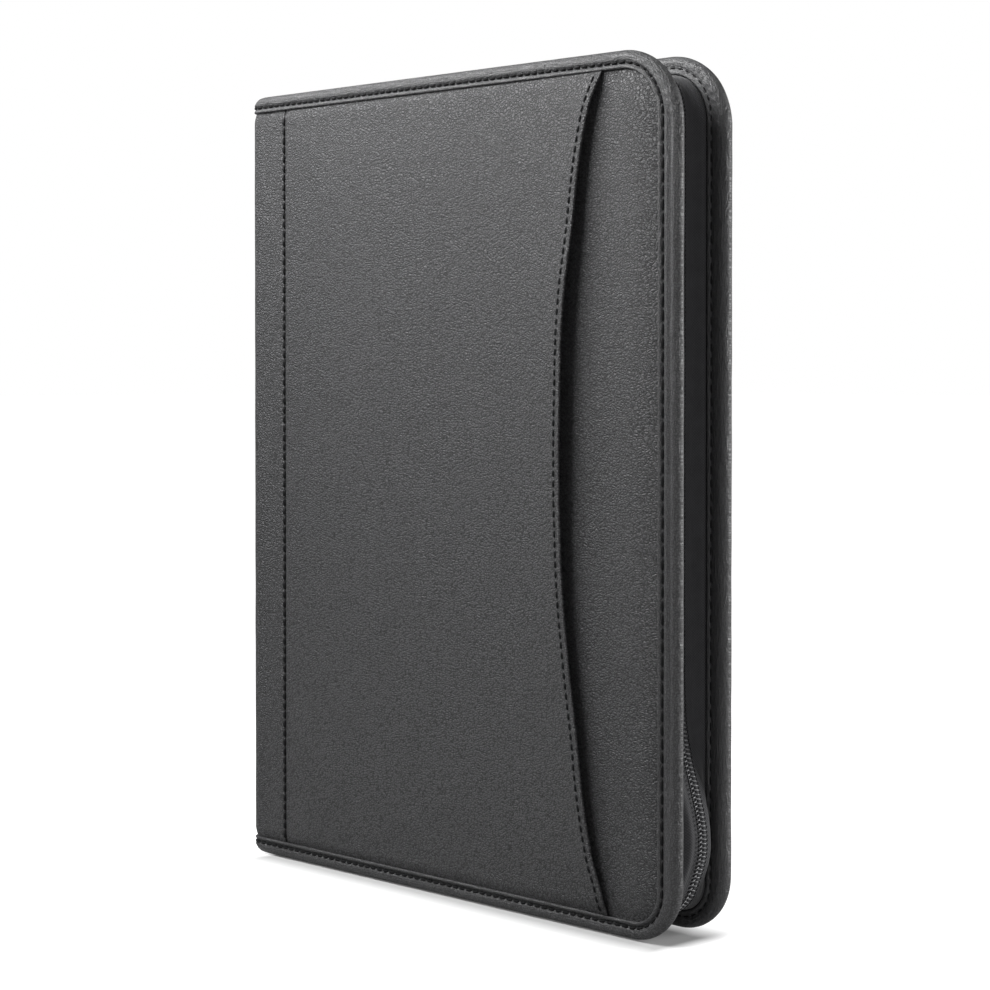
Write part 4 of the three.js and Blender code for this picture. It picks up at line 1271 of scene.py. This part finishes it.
# Zip tape: two woven tapes, each sewn in under the binding's inner edge all round its
# cover. With the zip shut they fold in between the covers, and they spring out with
# the chain at the bottom corner of the opening edge.
CHAIN_HALF = 3.1
CHAIN_SINK = 1.0
CHAIN_POP = 7.6
CHAIN_LEAN = 1.0
TAPE = 0.6
TAPE_START = 8
TAPE_COLOUR = (0.042, 0.042, 0.045, 1)
TUCKED = -0.41
# Height as a share of the case's, and how far out the chain is there
SIDE_POP = (
    (0.7, TUCKED), (0.4, TUCKED), (0.29, -0.4), (0.25, -0.32), (0.225, -0.17), (0.205, 0.02),
    (0.187, 0.22), (0.17, 0.43), (0.152, 0.62), (0.135, 0.77), (0.12, 0.85), (0.105, 0.86),
    (0.09, 0.78), (0.075, 0.6), (0.063, 0.42),
)
# Share of the bottom corner still to go, and how far out the chain is there
CORNER_POP = ((0.9, 0.27), (0.65, 0.1), (0.4, 0.02), (0.2, 0.0), (0.0, 0.0))
zip_right = opening_x - BINDING_SIDE
zip_top = case_height - BINDING_END
zip_start = spine_x + TAPE_START
top_run = zip_right - CORNER_TOP_INNER - zip_start
high_arc = CORNER_TOP_INNER * math.pi / 2
side_first = top_run + high_arc
side_run = zip_top - CORNER_TOP_INNER - BINDING_END - CORNER_BOTTOM_INNER
side_last = side_first + side_run
low_arc = CORNER_BOTTOM_INNER * math.pi / 2
low_run = zip_right - CORNER_BOTTOM_INNER - zip_start
zip_total = side_last + low_arc + low_run


def popped(share):
    return -CHAIN_SINK + share * (CHAIN_POP + CHAIN_SINK)


def zip_knots():
    """Places along the zip and how far out of the binding's inner line it runs there."""
    to_floor = side_first + zip_top - CORNER_TOP_INNER
    knots = [(0, -CHAIN_SINK), (top_run, -CHAIN_SINK), (side_first, popped(TUCKED))]
    knots += [(to_floor - place * case_height, popped(share)) for place, share in SIDE_POP]
    knots += [(side_last + (1 - place) * low_arc, popped(share)) for place, share in CORNER_POP]
    knots += [(zip_total, -CHAIN_SINK)]
    return np.array(knots)


ZIP_KNOTS = zip_knots()


def zip_course(s):
    """Base point, outward direction, reach and lean of the zip at lengths s."""
    a = np.clip((s - top_run) / high_arc, 0, 1) * np.pi / 2
    b = np.clip((s - side_last) / low_arc, 0, 1) * np.pi / 2
    x = zip_start + np.clip(s, 0, top_run) - np.clip(s - side_last - low_arc, 0, low_run)
    x += CORNER_TOP_INNER * np.sin(a) - CORNER_BOTTOM_INNER * (1 - np.cos(b))
    z = zip_top - CORNER_TOP_INNER * (1 - np.cos(a)) - CORNER_BOTTOM_INNER * np.sin(b)
    z -= np.clip(s - side_first, 0, side_run)
    turn = a + b
    out_dir = np.stack([np.sin(turn), np.zeros_like(turn), np.cos(turn)], -1)
    out = flowing(ZIP_KNOTS[:, 0], ZIP_KNOTS[:, 1], s)
    lean = CHAIN_LEAN * np.maximum(out, 0) / CHAIN_POP
    return np.stack([x, np.full_like(x, middle_y), z], -1), out_dir, out, lean


# Share of the chain's reach and distance from the middle, from the binding to the coil
TAPE_COURSE = (
    (0.0, spine_flat + 0.55), (0.0, spine_flat - 0.4), (0.12, spine_flat - 1.3),
    (0.45, spine_flat - 2.4), (0.8, spine_flat - 3.9), (1.0, spine_flat - 5.6),
    (1.0, CHAIN_HALF + 0.9), (1.0, 0.9),
)
TAPE_ROOT = -0.6
TAPE_COLS = 26
tape_material = woven_material("zip_tape_weave", TAPE_COLOUR, 0.55, 0.12, slub=0.5)
for face, side in SIDES:
    s = np.linspace(0, zip_total, 520)
    base, out_dir, out, lean = zip_course(s)
    knots = np.linspace(0, 1, len(TAPE_COURSE))
    fine = np.linspace(0, 1, TAPE_COLS)
    share = flowing(knots, [c[0] for c in TAPE_COURSE], fine)
    depth_y = flowing(knots, [c[1] for c in TAPE_COURSE], fine)
    reach = TAPE_ROOT + (out[:, None] - TAPE_ROOT) * share[None, :]
    s_grid, fine_grid = np.meshgrid(s, fine, indexing="ij")
    wave = 0.25 * ripple(s_grid, TAPE_COLS * fine_grid, 9, face * 1.5)
    loose = smooth_step(0.5, 5, out)[:, None] * np.sin(np.pi * fine)[None, :]
    reach = reach + wave * loose * 2.2
    y = face * depth_y[None, :] + lean[:, None] * share[None, :]
    middle = base[:, None, :] + out_dir[:, None, :] * reach[..., None]
    middle[..., 1] += y
    along_y = np.gradient(y, axis=1)
    along_out = np.gradient(reach, axis=1)
    half_tape = face * TAPE / 2 / np.hypot(along_y, along_out)
    push = out_dir[:, None, :] * (along_y * half_tape)[..., None]
    push[..., 1] -= along_out * half_tape
    width = summed(np.hypot(np.diff(share) * 4, np.diff(depth_y)))
    chart = np.stack(np.broadcast_arrays(s[:, None], width[None, :]), -1)
    tape = sheet_piece(side + "_zip_tape", middle + push, middle - push, chart)
    tape.data.materials.append(tape_material)
    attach(tape, side + "_cover")
    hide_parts("zip_tape_" + side)

# Zip chain: two nylon coils that mesh along the middle, each wound on a cord and sewn to
# its tape with one row of thread. It starts at the slider on the top run, goes down the
# opening edge and along the bottom, and ends at a stop near the spine.
COIL_PITCH = 1.7
COIL_WIRE = 0.36
COIL_RISE = 0.95
COIL_HEAD = 0.42
COIL_SIDES = 6
COIL_COLOUR = (0.1, 0.1, 0.105)
TURN_POINTS = 12
CORD = 0.62
CORD_SIDES = 8
CORD_SHIFT = 0.15
COIL_STITCH_PLACE = 2.35
CHAIN_TAIL = 15


def coil_material():
    """Black nylon wire, drawn smooth, with a dusting of wear all over."""
    material, tree, shader = start_material("coil_nylon", 0.3, specular=0.7)
    place = solid_place(tree)
    tone = ramp(tree, noise_value(tree, place, 0.9, 4.0), 0.25, 0.75, 0.6, 1.5)
    dull = noise_value(tree, place, 6.0, 2.0)
    roughness = ramp(tree, dull, 0.2, 0.8, 0.24, 0.5)
    join(tree, shader, scaled(tree, COIL_COLOUR, tone), relief(tree, dull, 0.03), roughness)
    return material


coil_nylon = coil_material()


def tube_along(path, radius, sides):
    """Points and faces of a closed-ended tube of a given thickness along a path."""
    run = np.gradient(path, axis=0)
    run /= np.linalg.norm(run, axis=1)[:, None]
    helper = np.tile([0.0, 1.0, 0.0], (len(path), 1))
    helper[np.abs(run[:, 1]) > 0.9] = (1.0, 0.0, 0.3)
    side = np.cross(run, helper)
    for k in range(1, len(side)):
        drift = side[k - 1] - run[k] * (side[k - 1] @ run[k])
        side[k] = drift / np.linalg.norm(drift)
    side[0] /= np.linalg.norm(side[0])
    up = np.cross(run, side)
    angle = np.arange(sides) * 2 * np.pi / sides
    ring = side[:, None, :] * np.cos(angle)[:, None] + up[:, None, :] * np.sin(angle)[:, None]
    points = path[:, None, :] + ring * radius
    return points, tube_faces(len(path), sides)


def zip_place(s, across_y, rise):
    """Points beside the middle of the chain and raised from it."""
    base, out_dir, out, lean = zip_course(s)
    point = base + out_dir * np.expand_dims(out + rise, 1)
    point[:, 1] += lean + across_y
    return point


slider_low, slider_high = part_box("zip_slider")
slider_x = (slider_low.x + slider_high.x) / 2 / mm
chain_first = slider_x - zip_start - 1.0
chain_last = zip_total - CHAIN_TAIL
turns = int((chain_last - chain_first) / COIL_PITCH)
phase = np.arange(turns * TURN_POINTS + 1) / TURN_POINTS
reach_y = (CHAIN_HALF + COIL_HEAD) / 2 - COIL_WIRE
centre_y = (CHAIN_HALF - COIL_HEAD) / 2
for face, side in SIDES:
    shift = 0.0 if face == FRONT else 0.5
    s = np.minimum(chain_first + COIL_PITCH * (phase + shift), chain_last)
    y = face * (centre_y - reach_y * np.cos(2 * np.pi * phase))
    rise = COIL_RISE * np.sin(2 * np.pi * phase)
    points, faces = tube_along(zip_place(s, y, rise), COIL_WIRE, COIL_SIDES)
    coil = facing_out(make_piece(side + "_zip_coil", points, faces))
    coil.data.materials.append(coil_nylon)
    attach(coil, side + "_cover")
    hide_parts("zip_chain_" + side)
    s = np.linspace(chain_first, chain_last, 500)
    points, faces = tube_along(zip_place(s, face * (centre_y + CORD_SHIFT), 0), CORD, CORD_SIDES)
    core = facing_out(make_piece(side + "_coil_cord", points, faces))
    weave = woven_material(side + "_coil_cord_weave", TAPE_COLOUR, 0.4, 0.1, charted=False)
    core.data.materials.append(weave)
    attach(core, side + "_cover")
    line = zip_place(s, face * COIL_STITCH_PLACE, COIL_RISE + COIL_WIRE * 0.6)
    coil_thread = sew(
        side + "_coil_thread", line, zip_course(s)[1], length=1.25, radius=0.2, sink=0.3,
        pitch=COIL_PITCH, slant=0.35,
    )
    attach(coil_thread, side + "_cover")

# Zip metal: slider, pull and stops of lacquered zinc and brass. The slider runs on the
# straight top run, the pull hangs on a pin through its eye, and the stops are clamped
# on the tapes' edges. All of them are the frame's own solids with softened edges.
METAL_COLOUR = (0.16, 0.16, 0.17, 1)


def worn_metal_group():
    """Lacquer with rubbed spots and hairline scratches. Vector is in mm."""
    tree, given, result = shader_group(
        "worn_metal",
        [("Vector", "Vector", None), ("Colour", "Color", (0.2, 0.2, 0.2, 1)), ("Wear", "Float", 0.4)],
        [("Colour", "Color"), ("Roughness", "Float"), ("Height", "Float")],
    )
    drawn = vector_math(tree, "MULTIPLY", given["Vector"], (0.25, 3.0, 3.0))
    scratch = noise_value(tree, drawn, 2.0, 5.0)
    patch = ramp(tree, noise_value(tree, given["Vector"], 0.5, 4.0), 0.5, 0.75)
    bare = math_node(tree, "MULTIPLY_ADD", ramp(tree, scratch, 0.55, 0.7), 0.5, patch)
    bare = math_node(tree, "MULTIPLY", bare, given["Wear"])
    shade = scaled(tree, given["Colour"], ramp(tree, bare, 0, 1, 0.9, 2.0))
    rough = ramp(tree, bare, 0.0, 0.6, 0.3, 0.5)
    put_out(tree, result, Colour=shade, Roughness=rough, Height=scratch)
    return tree


worn_metal = worn_metal_group()


def metal_material(name, colour, wear):
    material, tree, shader = start_material(name, 0.3, metallic=1.0)
    feeds = {"Vector": solid_place(tree), "Colour": colour, "Wear": wear}
    metal = place_group(tree, worn_metal, feeds)
    join(tree, shader, metal["Colour"], relief(tree, metal["Height"], 0.015), metal["Roughness"])
    return material


zip_metal = metal_material("lacquered_zip_metal", METAL_COLOUR, 0.4)
for name in ("zip_slider", "zip_pull", "zip_stop_front", "zip_stop_back", "zip_end_stop"):
    finish_solid(name, zip_metal, 0.18)

# Inside the front cover: a document pocket across the cover and three card pockets sewn
# on it in steps. Each is one sheet of thin matt leather cloth with its mouth turned over
# and stitched. They lie flat against the lining.
SHEET_COLOUR = (0.022, 0.022, 0.024, 1)
SHEET_STITCH = 2.0
SHEET_MOUTH_STITCH = 3.6
SHEET_HEM = 5.0
MOUTH_ROWS = np.array([0.15, 0.35, 0.6, 1.0, 5.0, 5.6, 6.2])
INSIDE_CORNER = CORNER_BOTTOM_INNER - 2.4
CARD_POCKET_CORNER = 3.0
sheet_leather = grained_material("pocket_sheet_leather", SHEET_COLOUR, 0.9, 0.07, 0.6, creases=0.15)


def inside_pocket(name, node_name, body, face, corner):
    """A flat pocket sheet with a turned and stitched mouth and one rounded corner."""
    low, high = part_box(node_name)
    x0, x1 = low.x / mm, high.x / mm
    z0, z1 = low.z / mm, high.z / mm
    near = (high.y if face == FRONT else low.y) / mm
    far = (low.y if face == FRONT else high.y) / mm
    z = spread_rows(z0, z1, 90, 0.5)
    z = np.sort(np.concatenate([z, z1 - MOUTH_ROWS]))
    cut = np.clip(z0 + corner - z, 0, corner)
    right = x1 - (corner - np.sqrt(np.maximum(corner**2 - cut**2, 0)))
    t = spread_rows(0, 1, 60, 0.6)
    x = x0 + (right[:, None] - x0) * t[None, :]
    z = np.repeat(z[:, None], 60, 1)
    inward = -float(face)
    from_top = z1 - z
    fold = 0.22 * (1 - smooth_step(SHEET_HEM, SHEET_HEM + 1, from_top))
    fold -= 0.35 * (1 - smooth_step(0, 0.6, from_top))
    edge = np.minimum(np.minimum(x - x0, right[:, None] - x), z - z0)
    sewn = -0.3 * (1 - smooth_step(0.0, 1.2, edge))
    sewn -= 0.12 * np.exp(-((edge - SHEET_STITCH) / 0.5) ** 2)
    slack = 0.1 * ripple(x, z, 30, 5.5 + z0)
    front = near + inward * (fold + sewn + slack * smooth_step(3, 15, edge) - 0.1)
    piece = layered(name, x, front, np.full_like(x, far), z)
    piece.data.materials.append(sheet_leather)
    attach(piece, body)
    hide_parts(node_name)
    left = x0 + SHEET_STITCH
    right = x1 - SHEET_STITCH
    low = z0 + SHEET_STITCH
    mouth = np.tile([0.0, near + inward * 0.1, z1 - SHEET_MOUTH_STITCH], (80, 1))
    mouth[:, 0] = np.linspace(left, right, 80)
    out = np.tile([0.0, inward, 0.0], (80, 1))
    lip = sew(name + "_mouth_thread", mouth, out, length=2.7, radius=0.26, sink=0.45)
    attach(lip, body)
    bend = np.linspace(0, np.pi / 2, 12)
    radius = max(corner - SHEET_STITCH, 0.5)
    hem = z1 - SHEET_HEM
    u_x = np.concatenate([[left, left], right - radius + radius * np.sin(bend), [right]])
    u_z = np.concatenate([[hem, low], low + radius - radius * np.cos(bend), [hem]])
    edge_line = np.stack([u_x, np.full_like(u_x, near - inward * 0.2), u_z], -1)
    hold = sew(
        name + "_edge_thread", edge_line, out[:len(u_x)], length=2.7, radius=0.26, sink=0.4
    )
    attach(hold, body)


inside_pocket("document_pocket_leather", "document_pocket", "front_cover", FRONT, INSIDE_CORNER)
for number in (1, 2, 3):
    inside_pocket(
        f"card_pocket_leather_{number}", f"card_pocket_{number}", "front_cover", FRONT,
        CARD_POCKET_CORNER,
    )

# Inside the back cover: a sewn panel that takes the card of a glued writing pad. The pad
# is a block of ruled paper on a grey card, with cloth tape folded over its head. The
# card slips down behind the panel, and the paper stands in front of it.
PAPER_COLOUR = (0.8, 0.79, 0.74, 1)
CARD_COLOUR = (0.4, 0.36, 0.3, 1)
RULE_PITCH = 8.0
RULE_MARGIN = 24
RULE_COLOUR = (0.32, 0.4, 0.52, 1)
LEAF_GAP_SHADE_COLOUR = (0.3, 0.29, 0.27, 1)
inside_pocket("pad_panel_leather", "pad_panel", "back_cover", BACK, INSIDE_CORNER)
finish_solid("pad_card", fibre_material("grey_card", CARD_COLOUR, 0.3, 0.06), 0.1)


def paper_material():
    """A block of sheets: ruled on its face, and fine leaves on its edges with painted shade between
    them.
    """
    material, tree, shader = start_material("ruled_paper", 0.85, specular=0.25)
    place = solid_place(tree)
    parts = node(tree, "SeparateXYZ", {0: place}).outputs
    feeds = {"Vector": place, "Colour": PAPER_COLOUR, "Specks": 0.03}
    fibre = place_group(tree, pressed_fibre, feeds)
    normal = node(tree, "SeparateXYZ", {0: node(tree, "TexCoord").outputs["Normal"]}).outputs
    is_face = ramp(tree, math_node(tree, "ABSOLUTE", normal[1]), 0.5, 0.8)
    row = math_node(tree, "FRACT", math_node(tree, "DIVIDE", parts[2], RULE_PITCH))
    row = math_node(tree, "ABSOLUTE", math_node(tree, "SUBTRACT", row, 0.5))
    rule = math_node(tree, "MULTIPLY", ramp(tree, row, 0.012, 0.03, 1.0, 0.0), is_face)
    head = ramp(tree, parts[2], PAD_RULE_TOP - 0.1, PAD_RULE_TOP, 1.0, 0.0)
    rule = math_node(tree, "MULTIPLY", rule, head)
    leaf = noise_value(tree, node(tree, "CombineXYZ", {0: parts[1]}).outputs[0], 9.0, 3.0)
    # Painted shade: dark lines between the leaves on the block's edges, where the relief dips.
    side = math_node(tree, "SUBTRACT", 1.0, is_face)
    side = math_node(tree, "MULTIPLY", side, ramp(tree, leaf, 0.45, 0.6))
    ink = colour_mix(tree, rule, fibre["Colour"], RULE_COLOUR)
    colour = colour_mix(tree, math_node(tree, "MULTIPLY", side, 0.45), ink, LEAF_GAP_SHADE_COLOUR)
    height = math_node(tree, "MULTIPLY_ADD", side, -0.5, fibre["Height"])
    join(tree, shader, colour, relief(tree, height, 0.05))
    return material


PAD_RULE_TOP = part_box("pad_paper")[1].z / mm - RULE_MARGIN
finish_solid("pad_paper", paper_material(), 0.12)

tape_low, tape_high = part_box("pad_head_tape")
HEAD_TAPE = 0.4
HEAD_TAPE_COLOUR = (0.03, 0.04, 0.075, 1)
BEND_RADIUS = 0.7
head_x = np.linspace(tape_low.x, tape_high.x, 90) / mm
bend_y = tape_low.y / mm + BEND_RADIUS
bend_z = tape_high.z / mm - BEND_RADIUS


def tape_profile(inset):
    """Side view of the head tape: up the front of the pad and back over its head."""
    radius = BEND_RADIUS - inset
    bend = np.linspace(0, np.pi / 2, 7)
    rise = np.linspace(tape_low.z / mm, bend_z, 16)[:-1]
    over = np.linspace(bend_y, tape_high.y / mm, 8)[1:]
    y = [np.full_like(rise, bend_y - radius), bend_y - radius * np.cos(bend), over]
    z = [rise, bend_z + radius * np.sin(bend), np.full_like(over, bend_z + radius)]
    return np.concatenate(y), np.concatenate(z)


def over_head(*rows):
    """A side view carried across the whole width of the pad."""
    return np.stack(np.broadcast_arrays(head_x[:, None], *rows), -1)


profile_y, profile_z = tape_profile(0.0)
run_length = summed(np.hypot(np.diff(profile_y), np.diff(profile_z)))
head_tape = sheet_piece(
    "pad_head_cloth", over_head(profile_y, profile_z), over_head(*tape_profile(HEAD_TAPE)),
    over_head(run_length),
)
head_tape.data.materials.append(woven_material("head_tape_cloth", HEAD_TAPE_COLOUR, 0.35, 0.05))
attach(head_tape, "back_cover")
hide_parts("pad_head_tape")

# Pen loop: a short tube of ribbed black elastic, sewn upright on the spine lining so that
# a pen stands in it between the covers.
loop_low, loop_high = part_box("pen_loop")
loop_x = (loop_low.x + loop_high.x) / 2 / mm
loop_y = (loop_low.y + loop_high.y) / 2 / mm
loop_radius = (loop_high.x - loop_low.x) / 2 / mm
LOOP_WALL = 1.0
RIB = 0.08
RIB_PITCH = 1.9
ELASTIC_COLOUR = (0.02, 0.02, 0.022, 1)
loop_z = np.linspace(loop_low.z / mm, loop_high.z / mm, 46)
angle = np.linspace(0, 2 * np.pi, 64, endpoint=False)
rib = RIB * np.cos(2 * np.pi * (loop_z - loop_z[0]) / RIB_PITCH)
end_roll = 0.25 * (1 - smooth_step(0, 0.7, np.minimum(loop_z - loop_z[0], loop_z[-1] - loop_z)))
outer_r = loop_radius - RIB + rib - end_roll
inner_r = loop_radius - LOOP_WALL + 0.05 * rib + end_roll
profile_r = np.concatenate([outer_r, inner_r[::-1]])
ring_z, ring_angle = np.meshgrid(np.concatenate([loop_z, loop_z[::-1]]), angle, indexing="ij")
ring_x = loop_x + profile_r[:, None] * np.cos(ring_angle)
ring_y = loop_y + profile_r[:, None] * np.sin(ring_angle)
pen_loop = facing_out(make_piece(
    "pen_loop_elastic", np.stack([ring_x, ring_y, ring_z], -1),
    lattice(*ring_z.shape, close_rows=True, close_cols=True),
    np.stack([ring_angle * loop_radius, ring_z], -1),
))
pen_loop.data.materials.append(woven_material("ribbed_elastic", ELASTIC_COLOUR, 0.6, 0.15))
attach(pen_loop, "spine")
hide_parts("pen_loop")
